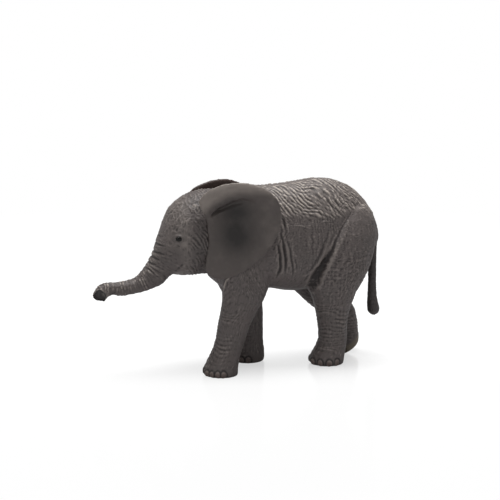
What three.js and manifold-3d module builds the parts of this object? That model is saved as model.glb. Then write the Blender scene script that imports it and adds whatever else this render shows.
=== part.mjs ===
// A small moulded figure of a walking African elephant calf, in millimetres, +Z up.
// It looks along -X, its left side is -Y and its soles rest on Z = 0.
// Nine solid mouldings are plugged and glued together: torso, head with trunk, two ears,
// four legs and tail. Every plug sits in a socket of its own shape, one glue gap wider.

import * as THREE from 'three';
import * as BufferGeometryUtils from 'three/addons/utils/BufferGeometryUtils.js';
import Module from 'manifold-3d';

const wasm = await Module();
wasm.setup();

// Driving dimensions
const backHeight = 58.8;
const torsoLength = 53;
const torsoWidth = 27;
const headLength = 22;
const headWidth = 20.5;
const headTurn = THREE.MathUtils.degToRad(-9);
const trunkReach = 21;
const trunkGirth = 4.3;
const earWidth = 24;
const earHeight = 30.5;
const earThickness = 1.5;
const foreLegGirth = 9.4;
const hindLegGirth = 11.2;
const trackWidth = 13.6;
const tailGirth = 2.6;
const glueGap = 0.3;

// Values of the head
const eyeDiameter = 1.6;
const nostrilDepth = 1.6;
const trunkFoldPitch = 1.7;
const trunkFoldDepthShare = 0.05;
const neckPegDiameter = 7.5;
const neckPegLength = 5;
const neckSlant = THREE.MathUtils.degToRad(12.5);
const neckTopShare = 0.985;
const neckPegDropShare = 0.135;
const eyeStandOut = 0.3;
const eyeTurn = THREE.MathUtils.degToRad(18);
const eyeAheadShare = 0.815;
const eyeHeightShare = 0.738;
const lidDepthShare = 0.35;
const lidHeightShare = 0.75;
const nostrilWidth = 1.5;
const nostrilHeight = 1.9;
const nostrilApartShare = 0.24;
const tipTurn = THREE.MathUtils.degToRad(48);
const tipDrop = THREE.MathUtils.degToRad(32);
const tipAheadShare = 0.917;
const tipHeightShare = 0.4385;

// Values of the ears
const earFlare = THREE.MathUtils.degToRad(17);
const earLean = THREE.MathUtils.degToRad(4);
const rightEarLean = THREE.MathUtils.degToRad(-12);
const rightEarAhead = 0.8;
const rightEarDrop = 1.9;
const earRimRoll = 1.6;
const earHollow = 1.9;
const earTabHeight = 17;
const earTabWidth = 6;
const earTabLength = 6.5;
const earTabSinkShare = 0.33;
const earTabBackShare = 0.085;
const earTabUpShare = 0;
const earLobeCurl = 0.8;
const earEdgeTaperShare = 0.35;
const earRootAheadShare = 0.445;
const earRootOutShare = 0.49;
const earRootHeightShare = 0.788;
const rimStartShare = 0.7;
const rimCrestShare = 0.86;
const rimSpreadShare = 0.16;
const rimFootShare = 0.55;
const rimTopShare = 0.9;
const hollowShares = { back: 0.36, backSpread: 0.3, up: 0.74, upSpread: 0.2 };

// Values of the legs
const leftForeStride = -8.8;
const rightForeStride = 6.7;
const leftHindStride = -5.5;
const rightHindStride = 7.8;
const rightHeelLift = THREE.MathUtils.degToRad(27);
const nailWidth = 2.4;
const nailHeight = 2.3;
const nailRise = -0.2;
const nailDepth = 0.8;
const heelRaise = 0.6;

// The side of the blocks that only cut: more than the whole figure
const cutSize = torsoLength + headLength + trunkReach + backHeight;

// How finely the round forms are faceted
const torsoSides = 28;
const torsoSlices = 22;
const headSides = 22;
const skullSlices = 12;
const legSides = 20;
const legRings = 17;
const nailSlice = 2;
const ballSides = 10;
const earSides = 34;
const tailSides = 12;
const tailSlices = 18;

// The barrel from neck to rump. Each row is one slice: its spine point and its belly point as
// shares of the torso's length and the back's height, its half width as a share of the torso's.
const torsoSliceShares = [
  { spineBack: -0.06, spineHeight: 0.97, bellyBack: -0.16, bellyHeight: 0.53, side: 0.62 },
  { spineBack: 0.0, spineHeight: 0.975, bellyBack: -0.1, bellyHeight: 0.49, side: 0.7 },
  { spineBack: 0.06, spineHeight: 0.98, bellyBack: -0.05, bellyHeight: 0.45, side: 0.78 },
  { spineBack: 0.13, spineHeight: 0.982, bellyBack: 0.02, bellyHeight: 0.435, side: 0.87 },
  { spineBack: 0.205, spineHeight: 0.978, bellyBack: 0.12, bellyHeight: 0.436, side: 0.94 },
  { spineBack: 0.285, spineHeight: 0.977, bellyBack: 0.23, bellyHeight: 0.43, side: 0.985 },
  { spineBack: 0.375, spineHeight: 0.983, bellyBack: 0.33, bellyHeight: 0.408, side: 0.99 },
  { spineBack: 0.47, spineHeight: 0.993, bellyBack: 0.43, bellyHeight: 0.4, side: 0.955 },
  { spineBack: 0.565, spineHeight: 1.0, bellyBack: 0.53, bellyHeight: 0.41, side: 0.91 },
  { spineBack: 0.66, spineHeight: 0.992, bellyBack: 0.63, bellyHeight: 0.43, side: 0.87 },
  { spineBack: 0.755, spineHeight: 0.962, bellyBack: 0.73, bellyHeight: 0.47, side: 0.82 },
  { spineBack: 0.84, spineHeight: 0.905, bellyBack: 0.82, bellyHeight: 0.52, side: 0.73 },
  { spineBack: 0.91, spineHeight: 0.825, bellyBack: 0.895, bellyHeight: 0.57, side: 0.56 },
  { spineBack: 0.955, spineHeight: 0.74, bellyBack: 0.945, bellyHeight: 0.615, side: 0.36 },
  { spineBack: 0.978, spineHeight: 0.68, bellyBack: 0.975, bellyHeight: 0.65, side: 0.12 },
];
const torsoRoundness = 2.15;
const torsoPearShare = 0.13;

// The skull from the neck to the root of the trunk, as shares of the head's length ahead of the
// neck, of the back's height and of the head's half width.
const skullSliceShares = [
  { browAhead: -0.1, browHeight: 0.972, jawAhead: 0.16, jawHeight: 0.53, side: 0.74 },
  { browAhead: 0.1, browHeight: 0.972, jawAhead: 0.35, jawHeight: 0.528, side: 0.86 },
  { browAhead: 0.3, browHeight: 0.97, jawAhead: 0.5, jawHeight: 0.53, side: 0.96 },
  { browAhead: 0.5, browHeight: 0.962, jawAhead: 0.62, jawHeight: 0.532, side: 1.0 },
  { browAhead: 0.69, browHeight: 0.932, jawAhead: 0.72, jawHeight: 0.535, side: 0.97 },
  { browAhead: 0.84, browHeight: 0.884, jawAhead: 0.785, jawHeight: 0.535, side: 0.89 },
  { browAhead: 0.925, browHeight: 0.822, jawAhead: 0.83, jawHeight: 0.533, side: 0.79 },
  { browAhead: 0.985, browHeight: 0.762, jawAhead: 0.885, jawHeight: 0.523, side: 0.68 },
];
const headRoundness = 2.2;
const headPearShare = 0.06;

// The trunk from its root to its tip: the points of its upper and its under line, as shares of its
// reach ahead of the skull and of the back's height, and its half width as a share of its girth.
const trunkSliceShares = [
  { topAhead: 0.045, topHeight: 0.708, underAhead: -0.085, underHeight: 0.506, side: 1.42 },
  { topAhead: 0.1, topHeight: 0.652, underAhead: -0.02, underHeight: 0.479, side: 1.22 },
  { topAhead: 0.185, topHeight: 0.594, underAhead: 0.085, underHeight: 0.464, side: 1.03 },
  { topAhead: 0.28, topHeight: 0.55, underAhead: 0.2, underHeight: 0.449, side: 0.86 },
  { topAhead: 0.367, topHeight: 0.521, underAhead: 0.325, underHeight: 0.438, side: 0.72 },
  { topAhead: 0.492, topHeight: 0.507, underAhead: 0.471, underHeight: 0.43, side: 0.61 },
  { topAhead: 0.629, topHeight: 0.502, underAhead: 0.61, underHeight: 0.424, side: 0.52 },
  { topAhead: 0.743, topHeight: 0.503, underAhead: 0.735, underHeight: 0.428, side: 0.48 },
  { topAhead: 0.852, topHeight: 0.497, underAhead: 0.81, underHeight: 0.424, side: 0.5 },
  { topAhead: 0.95, topHeight: 0.474, underAhead: 0.88, underHeight: 0.405, side: 0.58 },
  { topAhead: 1.02, topHeight: 0.43, underAhead: 0.93, underHeight: 0.37, side: 0.62 },
];

// The lower jaw under the trunk's root, from the throat to the lip.
const jawSliceShares = [
  { ahead: 0.4, height: 0.6, rise: 0.055, side: 0.3 },
  { ahead: 0.55, height: 0.585, rise: 0.06, side: 0.4 },
  { ahead: 0.7, height: 0.576, rise: 0.052, side: 0.36 },
  { ahead: 0.82, height: 0.567, rise: 0.038, side: 0.28 },
  { ahead: 0.9, height: 0.562, rise: 0.026, side: 0.2 },
  { ahead: 0.94, height: 0.561, rise: 0.012, side: 0.1 },
];

// The ear's outline from its root at the head over the top and round to the hanging lobe,
// as shares of the ear's width behind its root and of its height above the lobe.
const earOutlineShares = [
  { back: -0.1, up: 0.8 },
  { back: -0.02, up: 0.885 },
  { back: 0.13, up: 0.955 },
  { back: 0.33, up: 0.995 },
  { back: 0.54, up: 0.99 },
  { back: 0.73, up: 0.945 },
  { back: 0.87, up: 0.86 },
  { back: 0.94, up: 0.735 },
  { back: 0.945, up: 0.58 },
  { back: 0.87, up: 0.4 },
  { back: 0.72, up: 0.24 },
  { back: 0.52, up: 0.11 },
  { back: 0.3, up: 0.02 },
  { back: 0.12, up: 0.01 },
  { back: -0.01, up: 0.08 },
  { back: 0.0, up: 0.22 },
  { back: 0.03, up: 0.4 },
  { back: 0.0, up: 0.62 },
];
const earMiddleShares = { back: 0.44, up: 0.52 };
const earTabShares = [
  { inward: 0, thick: 0.5, high: 0.84 },
  { inward: 0.25, thick: 0.58, high: 0.87 },
  { inward: 0.5, thick: 0.72, high: 0.92 },
  { inward: 0.75, thick: 0.9, high: 0.97 },
  { inward: 1, thick: 1, high: 1 },
];
const earFrontRingShares = [0.3, 0.55, 0.72, 0.84, 0.92, 0.975, 1];
const earBackRingShares = [0.97, 0.8, 0.5];

// The legs' slices from the sole up: height as a share of the back's height, half length and half
// width as shares of the leg's girth.
const foreSliceShares = [
  { height: 0.0, along: 0.5, across: 0.48 },
  { height: 0.01, along: 0.55, across: 0.53 },
  { height: 0.035, along: 0.565, across: 0.55 },
  { height: 0.07, along: 0.53, across: 0.52 },
  { height: 0.12, along: 0.48, across: 0.47 },
  { height: 0.18, along: 0.48, across: 0.46 },
  { height: 0.25, along: 0.52, across: 0.48 },
  { height: 0.33, along: 0.6, across: 0.51 },
  { height: 0.4, along: 0.71, across: 0.55 },
  { height: 0.47, along: 0.8, across: 0.58 },
  { height: 0.56, along: 0.84, across: 0.6 },
  { height: 0.66, along: 0.8, across: 0.57 },
  { height: 0.74, along: 0.68, across: 0.46 },
  { height: 0.8, along: 0.42, across: 0.26 },
  { height: 0.82, along: 0.16, across: 0.1 },
];
const hindSliceShares = [
  { height: 0.0, along: 0.44, across: 0.43 },
  { height: 0.01, along: 0.48, across: 0.47 },
  { height: 0.035, along: 0.495, across: 0.48 },
  { height: 0.07, along: 0.455, across: 0.45 },
  { height: 0.12, along: 0.4, across: 0.4 },
  { height: 0.18, along: 0.4, across: 0.39 },
  { height: 0.25, along: 0.43, across: 0.4 },
  { height: 0.32, along: 0.53, across: 0.43 },
  { height: 0.4, along: 0.7, across: 0.5 },
  { height: 0.48, along: 0.95, across: 0.57 },
  { height: 0.57, along: 1.03, across: 0.61 },
  { height: 0.67, along: 1.0, across: 0.6 },
  { height: 0.76, along: 0.86, across: 0.51 },
  { height: 0.83, along: 0.62, across: 0.36 },
  { height: 0.87, along: 0.3, across: 0.17 },
];
const legRoundness = 2.1;

// How much of the stride each slice of a leg has taken, and how far the slice stands out from the
// track on its way up to the shoulder or hip, as shares.
const leftForeLeanShares = [
  0.98, 1, 1.02, 0.96, 0.82, 0.66, 0.54, 0.36,
  0.17, 0.1, 0.02, 0, -0.1, -0.15, -0.15,
];
const rightForeLeanShares = [
  0.95, 0.96, 0.96, 0.97, 1, 1, 0.95, 0.8,
  0.62, 0.44, 0.2, 0, -0.1, -0.15, -0.15,
];
const leftHindLeanShares = [
  0.98, 1, 0.99, 0.86, 0.645, 0.63, 0.67, 0.68,
  0.66, 0.62, 0.4, 0.05, -0.25, -0.5, -0.6,
];
const rightHindLeanShares = [
  0.98, 1, 1, 1, 1.02, 1, 0.6, 0.08,
  -0.33, -0.5, -0.4, -0.1, 0.2, 0.35, 0.4,
];
const uprightPitchShares = [
  0, 0, 0, 0, 0, 0, 0, 0,
  0, 0, 0, 0, 0, 0, 0,
];
const heelPitchShares = [
  1, 1, 1, 0.9, 0.75, 0.9, 1.4, 1.2,
  0.6, 0.1, 0, 0, 0, 0, 0,
];
const foreSplayShares = [
  0, 0, 0, 0, 0, 0, 0, 0.02,
  0.05, 0.08, 0.08, 0.03, -0.04, -0.08, -0.1,
];
const hindSplayShares = [
  0, 0, 0, 0, 0, 0, 0.01, 0.03,
  0.07, 0.1, 0.1, 0.03, -0.08, -0.16, -0.2,
];

// Where the legs stand, behind the neck, as shares of the torso's length.
const shoulderBackShare = 0.06;
const hipBackShare = 0.69;

// The toenails' bearings round the front of a foot, from straight ahead towards the outside.
const foreNailBearings = [-30, 5, 38, 66, 96].map(THREE.MathUtils.degToRad);
const hindNailBearings = [-35, 5, 42, 80].map(THREE.MathUtils.degToRad);

// The tail from its root in the rump to its tuft: middle line and half thickness.
const tailSliceShares = [
  { back: 0.84, height: 0.79, half: 0.5 },
  { back: 0.9, height: 0.78, half: 0.62 },
  { back: 0.945, height: 0.74, half: 0.62 },
  { back: 0.962, height: 0.67, half: 0.56 },
  { back: 0.962, height: 0.58, half: 0.52 },
  { back: 0.962, height: 0.48, half: 0.52 },
  { back: 0.962, height: 0.39, half: 0.52 },
  { back: 0.964, height: 0.32, half: 0.6 },
  { back: 0.972, height: 0.265, half: 0.76 },
  { back: 0.98, height: 0.235, half: 0.72 },
  { back: 0.985, height: 0.218, half: 0.3 },
];

// One value of a table at an in-between place, on a smooth curve through its rows.
function smoothValue(rows, key, share) {
  const points = rows.map((row, index) => new THREE.Vector2(index, row[key]));
  return new THREE.SplineCurve(points).getPoint(share).y;
}

// The whole table, redrawn with another number of evenly placed rows.
function smoothRows(rows, count) {
  const keys = Object.keys(rows[0]);
  return Array.from({ length: count }, (_, index) => {
    const share = index / (count - 1);
    return Object.fromEntries(keys.map((key) => [key, smoothValue(rows, key, share)]));
  });
}

// A closed body skinned over rings of points, each end closed on the middle of its ring.
function skin(rings) {
  const sides = rings[0].length;
  const points = rings.flat();
  const faces = [];
  for (let ring = 0; ring + 1 < rings.length; ring += 1) {
    for (let side = 0; side < sides; side += 1) {
      const a = ring * sides + side;
      const b = ring * sides + ((side + 1) % sides);
      faces.push([a, b, b + sides], [a, b + sides, a + sides]);
    }
  }
  const last = (rings.length - 1) * sides;
  const hub = rings.length * sides;
  for (let side = 0; side < sides; side += 1) {
    const next = (side + 1) % sides;
    faces.push([next, side, hub], [last + side, last + next, hub + 1]);
  }
  for (const end of [rings[0], rings.at(-1)]) {
    points.push(end.reduce((sum, point) => sum.add(point), new THREE.Vector3()).divideScalar(sides));
  }
  const volume = faces.reduce((sum, [a, b, c]) => {
    return sum + points[a].dot(new THREE.Vector3().crossVectors(points[b], points[c]));
  }, 0);
  const outward = volume > 0 ? faces : faces.map(([a, b, c]) => [a, c, b]);
  const geometry = new THREE.BufferGeometry().setFromPoints(points);
  geometry.setIndex(outward.flat());
  return geometry;
}

// The solid of a closed geometry, for joining and cutting.
function solidOf(geometry) {
  const bare = geometry.clone();
  bare.deleteAttribute('normal');
  bare.deleteAttribute('uv');
  const merged = BufferGeometryUtils.mergeVertices(bare);
  const mesh = new wasm.Mesh({
    numProp: 3,
    vertProperties: new Float32Array(merged.attributes.position.array),
    triVerts: new Uint32Array(merged.index.array),
  });
  return new wasm.Manifold(mesh);
}

function geometryOf(solid) {
  const { vertProperties, triVerts } = solid.getMesh();
  const geometry = new THREE.BufferGeometry();
  geometry.setAttribute('position', new THREE.BufferAttribute(vertProperties, 3));
  geometry.setIndex(new THREE.BufferAttribute(triVerts, 1));
  return geometry;
}

// A closed outline round the segment from one point to another in the plane Y = 0. Its width is
// greatest below its middle when the pear share is above zero.
function oval(top, under, side, sides, roundness, pearShare, grow) {
  const middle = top.clone().add(under).divideScalar(2);
  const rise = top.clone().sub(middle);
  const half = rise.length() + grow;
  rise.normalize();
  return Array.from({ length: sides }, (_, index) => {
    const angle = (index / sides) * Math.PI * 2;
    const up = Math.sign(Math.cos(angle)) * Math.abs(Math.cos(angle)) ** (2 / roundness);
    const out = Math.sign(Math.sin(angle)) * Math.abs(Math.sin(angle)) ** (2 / roundness);
    const point = middle.clone().addScaledVector(rise, half * up);
    point.y = (side + grow) * out * (1 - pearShare * up);
    return point;
  });
}

function behindNeck(share) {
  return share * torsoLength;
}

function torsoShape(grow = 0) {
  const rings = smoothRows(torsoSliceShares, torsoSlices).map((row) => {
    const spine = new THREE.Vector3(behindNeck(row.spineBack), 0, row.spineHeight * backHeight);
    const belly = new THREE.Vector3(behindNeck(row.bellyBack), 0, row.bellyHeight * backHeight);
    const side = (row.side * torsoWidth) / 2;
    return oval(spine, belly, side, torsoSides, torsoRoundness, torsoPearShare, grow);
  });
  return skin(rings);
}

// A block whose face is the slanted plane of the neck: it fills everything ahead of that plane, or
// everything behind it.
function neckBlock(sign, gap) {
  const block = new THREE.BoxGeometry(cutSize, cutSize, cutSize);
  block.translate(sign * (cutSize / 2 - gap), 0, 0);
  block.rotateY(neckSlant);
  block.translate(0, 0, neckTopShare * backHeight);
  return solidOf(block);
}

// The round peg behind the head, on the middle of the neck's slanted face.
function neckPeg(grow = 0) {
  const length = 2 * neckPegLength + grow;
  const radius = neckPegDiameter / 2 + grow;
  const peg = new THREE.CylinderGeometry(radius, radius, length, legSides);
  peg.rotateZ(Math.PI / 2);
  peg.translate(grow / 2, 0, -neckPegDropShare * backHeight);
  peg.rotateY(neckSlant);
  peg.translate(0, 0, neckTopShare * backHeight);
  return solidOf(peg);
}

// Trunk folds: the slices narrow and widen in turn, one crease every fold pitch.
function trunkRings(grow) {
  const count = 2 * Math.round(trunkReach / trunkFoldPitch) + 3;
  return smoothRows(trunkSliceShares, count).map((row, index) => {
    const topX = -headLength - row.topAhead * trunkReach;
    const top = new THREE.Vector3(topX, 0, row.topHeight * backHeight);
    const underX = -headLength - row.underAhead * trunkReach;
    const under = new THREE.Vector3(underX, 0, row.underHeight * backHeight);
    const crease = index % 2 === 0 ? 0 : -trunkFoldDepthShare * trunkGirth;
    return oval(top, under, row.side * trunkGirth, headSides, headRoundness, 0, grow + crease);
  });
}

// The head is turned a little to its right, about the upright line at the top of the neck.
const headPlace = new THREE.Matrix4().makeRotationZ(headTurn);

// The skull and the trunk in one skin.
function skullShape(grow = 0) {
  const skull = smoothRows(skullSliceShares, skullSlices).map((row) => {
    const brow = new THREE.Vector3(-row.browAhead * headLength, 0, row.browHeight * backHeight);
    const jaw = new THREE.Vector3(-row.jawAhead * headLength, 0, row.jawHeight * backHeight);
    return oval(brow, jaw, (row.side * headWidth) / 2, headSides, headRoundness, headPearShare, grow);
  });
  return skin([...skull, ...trunkRings(grow)]).applyMatrix4(headPlace);
}

function jawShape() {
  const rings = jawSliceShares.map((row) => {
    const middle = new THREE.Vector3(-row.ahead * headLength, 0, row.height * backHeight);
    const rise = new THREE.Vector3(0, 0, row.rise * backHeight);
    const side = (row.side * headWidth) / 2;
    return oval(middle.clone().add(rise), middle.clone().sub(rise), side, legSides, headRoundness, 0, 0);
  });
  return skin(rings).applyMatrix4(headPlace);
}

// A ball stretched to three half sizes, turned about the upright axis and set in its place.
function ball(halfSizes, turn, place) {
  const [along, across, high] = halfSizes;
  const shape = new THREE.SphereGeometry(along, ballSides, ballSides / 2);
  shape.rotateX(Math.PI / 2);
  shape.scale(1, across / along, high / along);
  shape.rotateZ(turn);
  shape.translate(place.x, place.y, place.z);
  return shape;
}

// The point on the side of the straight skull where an eye is set.
function eyeOnSkull(skull, side) {
  const eyeX = -eyeAheadShare * headLength;
  const outside = new THREE.Vector3(eyeX, side * headWidth, eyeHeightShare * backHeight);
  const inward = new THREE.Vector3(0, -side, 0);
  return new THREE.Raycaster(outside, inward).intersectObject(skull)[0].point;
}

// The middle of the trunk's end, where it is cut off on a slant: +X faces out of the cut, to the
// left and down, and +Y runs level across it from nostril to nostril.
function tipPlace() {
  const facing = new THREE.Euler(0, tipDrop, Math.PI + tipTurn, 'ZYX');
  const middle = new THREE.Vector3(
    -headLength - tipAheadShare * trunkReach,
    0,
    tipHeightShare * backHeight,
  );
  return new THREE.Matrix4().makeRotationFromEuler(facing).setPosition(middle).premultiply(headPlace);
}

function headSolid() {
  const straight = skullShape().applyMatrix4(headPlace.clone().invert());
  const skull = new THREE.Mesh(straight, new THREE.MeshBasicMaterial({ side: THREE.DoubleSide }));
  let head = solidOf(skullShape()).add(solidOf(jawShape()));
  for (const side of [-1, 1]) {
    const eye = eyeOnSkull(skull, side);
    const lidHalf = [eyeDiameter, eyeDiameter * lidDepthShare, eyeDiameter * lidHeightShare];
    head = head.add(solidOf(ball(lidHalf, side * eyeTurn, eye).applyMatrix4(headPlace)));
    const out = new THREE.Vector3(-Math.sin(eyeTurn), side * Math.cos(eyeTurn), 0);
    eye.addScaledVector(out, eyeDiameter * lidDepthShare - eyeDiameter / 2 + eyeStandOut);
    const eyeHalf = [eyeDiameter / 2, eyeDiameter / 2, eyeDiameter / 2];
    head = head.add(solidOf(ball(eyeHalf, 0, eye).applyMatrix4(headPlace)));
  }
  const tip = tipPlace();
  const beyond = new THREE.BoxGeometry(cutSize, cutSize, cutSize).translate(cutSize / 2, 0, 0);
  head = head.subtract(solidOf(beyond.applyMatrix4(tip)));
  for (const side of [-1, 1]) {
    const place = new THREE.Vector3(0, side * nostrilApartShare * trunkGirth, 0);
    const nostrilHalf = [nostrilDepth, nostrilWidth / 2, nostrilHeight / 2];
    head = head.subtract(solidOf(ball(nostrilHalf, 0, place).applyMatrix4(tip)));
  }
  return head.subtract(neckBlock(1, glueGap)).add(neckPeg());
}

// A leg's slices from the sole up to the plug's end inside the torso.
function legSlices(leg, grow) {
  const rows = leg.sliceShares.map((row, index) => ({
    ...row,
    lean: leg.leanShares[index],
    splay: leg.splayShares[index],
    pitch: leg.pitchShares[index],
  }));
  return smoothRows(rows, legRings).map((row, index) => ({
    middle: new THREE.Vector3(
      behindNeck(leg.backShare) + row.lean * leg.stride,
      (leg.side * trackWidth * (1 + row.splay)) / 2,
      row.height * backHeight + leg.lift * row.pitch + (grow * index) / (legRings - 1),
    ),
    along: row.along * leg.girth + grow,
    across: row.across * leg.girth + grow,
    pitch: row.pitch * leg.heelLift,
  }));
}

function pointOnSlice(slice, angle) {
  const along = Math.sign(Math.cos(angle)) * Math.abs(Math.cos(angle)) ** (2 / legRoundness);
  const across = Math.sign(Math.sin(angle)) * Math.abs(Math.sin(angle)) ** (2 / legRoundness);
  return new THREE.Vector3(
    slice.middle.x + along * slice.along * Math.cos(slice.pitch),
    slice.middle.y + across * slice.across,
    slice.middle.z + along * slice.along * Math.sin(slice.pitch),
  );
}

function legShape(leg, grow = 0) {
  const angles = Array.from({ length: legSides }, (_, index) => (index / legSides) * Math.PI * 2);
  const rings = legSlices(leg, grow).map((slice) => angles.map((angle) => pointOnSlice(slice, angle)));
  return skin(rings);
}

// A leg with its toenails, its sole cut flat where it meets the ground.
function legSolid(leg) {
  let solid = solidOf(legShape(leg));
  const foot = legSlices(leg, 0)[nailSlice];
  for (const bearing of leg.nailBearings) {
    const angle = Math.PI - leg.side * bearing;
    const place = pointOnSlice(foot, angle);
    place.z += nailRise;
    solid = solid.add(solidOf(ball([nailDepth / 2, nailWidth / 2, nailHeight / 2], angle, place)));
  }
  const ground = new THREE.BoxGeometry(cutSize, cutSize, cutSize);
  ground.translate(0, 0, -cutSize / 2);
  return solid.subtract(solidOf(ground));
}

// How far the ear's middle surface stands out at a place on the blade, given as shares: a rolled
// rim along the top, and a hollow under it.
function earStandOut(back, up, ring) {
  const curl = THREE.MathUtils.smoothstep(ring, rimStartShare, 1);
  const top = THREE.MathUtils.smoothstep(up, rimFootShare, rimTopShare);
  const crest = Math.exp(-(((ring - rimCrestShare) / rimSpreadShare) ** 2));
  const across = (back - hollowShares.back) / hollowShares.backSpread;
  const along = (up - hollowShares.up) / hollowShares.upSpread;
  const hollow = Math.exp(-across * across - along * along);
  const lobeCurl = curl * THREE.MathUtils.smoothstep(back, rimFootShare, 1);
  return earRimRoll * crest * top - earHollow * hollow - earLobeCurl * lobeCurl * (1 - top);
}

// The ear's blade in its own frame: +X to its rear edge, +Z up, outward along Y on its own side.
function earBlade(side) {
  const outline = new THREE.CatmullRomCurve3(
    earOutlineShares.map((point) => new THREE.Vector3(point.back, 0, point.up)),
    true,
  ).getSpacedPoints(earSides).slice(0, earSides);
  const middle = new THREE.Vector3(earMiddleShares.back, 0, earMiddleShares.up);
  const ringAt = (share, face) => outline.map((edge) => {
    const place = middle.clone().lerp(edge, share);
    const edgeThickness = 1 - earEdgeTaperShare * THREE.MathUtils.smoothstep(share, rimStartShare, 1);
    const standOut = earStandOut(place.x, place.z, share) + (face * earThickness * edgeThickness) / 2;
    return new THREE.Vector3(place.x * earWidth, side * standOut, (place.z - middle.z) * earHeight);
  });
  const front = earFrontRingShares.map((share) => ringAt(share, 1));
  const back = earBackRingShares.map((share) => ringAt(share, -1));
  return skin([...front, ...back]);
}

// The web at the ear's root that is glued into the side of the head, thicker towards the head.
function earTab(side, grow = 0) {
  const rings = earTabShares.map((row) => {
    const inward = earTabSinkShare * earThickness + row.inward * (earTabLength + grow);
    return Array.from({ length: legSides }, (_, index) => {
      const angle = (index / legSides) * Math.PI * 2;
      return new THREE.Vector3(
        earTabBackShare * earWidth + ((row.thick * earTabWidth) / 2 + grow) * Math.cos(angle),
        -side * inward,
        earTabUpShare * earHeight + ((row.high * earTabHeight) / 2 + grow) * Math.sin(angle),
      );
    });
  });
  return skin(rings);
}

// Where an ear sits on the head. The right ear sits a little further forward and lower than the
// left one, and its lobe swings out further.
function earPlace({ side, lean, ahead, drop }) {
  const turn = new THREE.Euler(-side * lean, 0, side * earFlare, 'ZYX');
  const root = new THREE.Vector3(
    -ahead - earRootAheadShare * headLength,
    side * earRootOutShare * headWidth,
    earRootHeightShare * backHeight - drop,
  );
  const place = new THREE.Matrix4().makeRotationFromEuler(turn);
  return place.setPosition(root).premultiply(headPlace);
}

// The tail's middle line, a point for each row of its table.
function tailShape(grow = 0) {
  const rows = smoothRows(tailSliceShares, tailSlices);
  const line = rows.map((row) => new THREE.Vector3(behindNeck(row.back), 0, row.height * backHeight));
  const across = new THREE.Vector3(0, 1, 0);
  const rings = rows.map((row, index) => {
    const ahead = line[Math.min(index + 1, rows.length - 1)];
    const along = ahead.clone().sub(line[Math.max(index - 1, 0)]).normalize();
    const out = new THREE.Vector3().crossVectors(across, along);
    const half = row.half * tailGirth + grow;
    return Array.from({ length: tailSides }, (_, corner) => {
      const angle = (corner / tailSides) * Math.PI * 2;
      const point = line[index].clone().addScaledVector(out, half * Math.cos(angle));
      return point.addScaledVector(across, half * Math.sin(angle));
    });
  });
  return skin(rings);
}

const legs = [
  {
    name: 'foreleg_left',
    side: -1,
    sliceShares: foreSliceShares,
    leanShares: leftForeLeanShares,
    splayShares: foreSplayShares,
    girth: foreLegGirth,
    stride: leftForeStride,
    backShare: shoulderBackShare,
    pitchShares: uprightPitchShares,
    heelLift: 0,
    lift: 0,
    nailBearings: foreNailBearings,
  },
  {
    name: 'foreleg_right',
    side: 1,
    sliceShares: foreSliceShares,
    leanShares: rightForeLeanShares,
    splayShares: foreSplayShares,
    girth: foreLegGirth,
    stride: rightForeStride,
    backShare: shoulderBackShare,
    pitchShares: uprightPitchShares,
    heelLift: 0,
    lift: 0,
    nailBearings: foreNailBearings,
  },
  {
    name: 'hind_leg_left',
    side: -1,
    sliceShares: hindSliceShares,
    leanShares: leftHindLeanShares,
    splayShares: hindSplayShares,
    girth: hindLegGirth,
    stride: leftHindStride,
    backShare: hipBackShare,
    pitchShares: uprightPitchShares,
    heelLift: 0,
    lift: 0,
    nailBearings: hindNailBearings,
  },
  {
    name: 'hind_leg_right',
    side: 1,
    sliceShares: hindSliceShares,
    leanShares: rightHindLeanShares,
    splayShares: hindSplayShares,
    girth: hindLegGirth,
    stride: rightHindStride,
    backShare: hipBackShare,
    pitchShares: heelPitchShares,
    heelLift: rightHeelLift,
    lift: heelRaise,
    nailBearings: hindNailBearings,
  },
];

const ears = [
  { name: 'ear_left', side: -1, lean: earLean, ahead: 0, drop: 0 },
  { name: 'ear_right', side: 1, lean: rightEarLean, ahead: rightEarAhead, drop: rightEarDrop },
];

const figure = new THREE.Group();
figure.name = 'elephant_calf';

const hide = new THREE.MeshStandardMaterial({ color: '#4b4744', roughness: 0.7, metalness: 0 });
const earHide = new THREE.MeshStandardMaterial({ color: '#413b38', roughness: 0.55, metalness: 0 });
const tailHide = new THREE.MeshStandardMaterial({ color: '#373332', roughness: 0.7, metalness: 0 });

// Adds a piece as a mesh in a frame of its own.
function addPiece(name, solid, material, place = new THREE.Matrix4()) {
  const geometry = geometryOf(solid);
  geometry.applyMatrix4(place.clone().invert());
  geometry.computeVertexNormals();
  const mesh = new THREE.Mesh(geometry, material.clone());
  mesh.name = name;
  mesh.applyMatrix4(place);
  figure.add(mesh);
}

let torso = solidOf(torsoShape()).subtract(neckBlock(-1, 0)).subtract(neckPeg(glueGap));
torso = torso.subtract(solidOf(tailShape(glueGap)));
let head = headSolid();
for (const leg of legs) {
  const socket = solidOf(legShape(leg, glueGap));
  torso = torso.subtract(socket);
  head = head.subtract(socket);
  const onTrack = (leg.side * trackWidth) / 2;
  const place = new THREE.Matrix4().makeTranslation(behindNeck(leg.backShare), onTrack, 0);
  addPiece(leg.name, legSolid(leg), hide, place);
}

const headRoom = solidOf(skullShape(glueGap));
const torsoRoom = solidOf(torsoShape(glueGap));
for (const ear of ears) {
  const { name, side } = ear;
  const place = earPlace(ear);
  const put = (geometry) => solidOf(geometry.applyMatrix4(place));
  const blade = put(earBlade(side)).subtract(headRoom).subtract(torsoRoom);
  let solid = put(earTab(side)).subtract(neckBlock(1, glueGap)).add(blade);
  for (const leg of legs) {
    solid = solid.subtract(solidOf(legShape(leg, glueGap)));
  }
  head = head.subtract(put(earTab(side, glueGap)));
  addPiece(name, solid, earHide, place);
}

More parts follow.
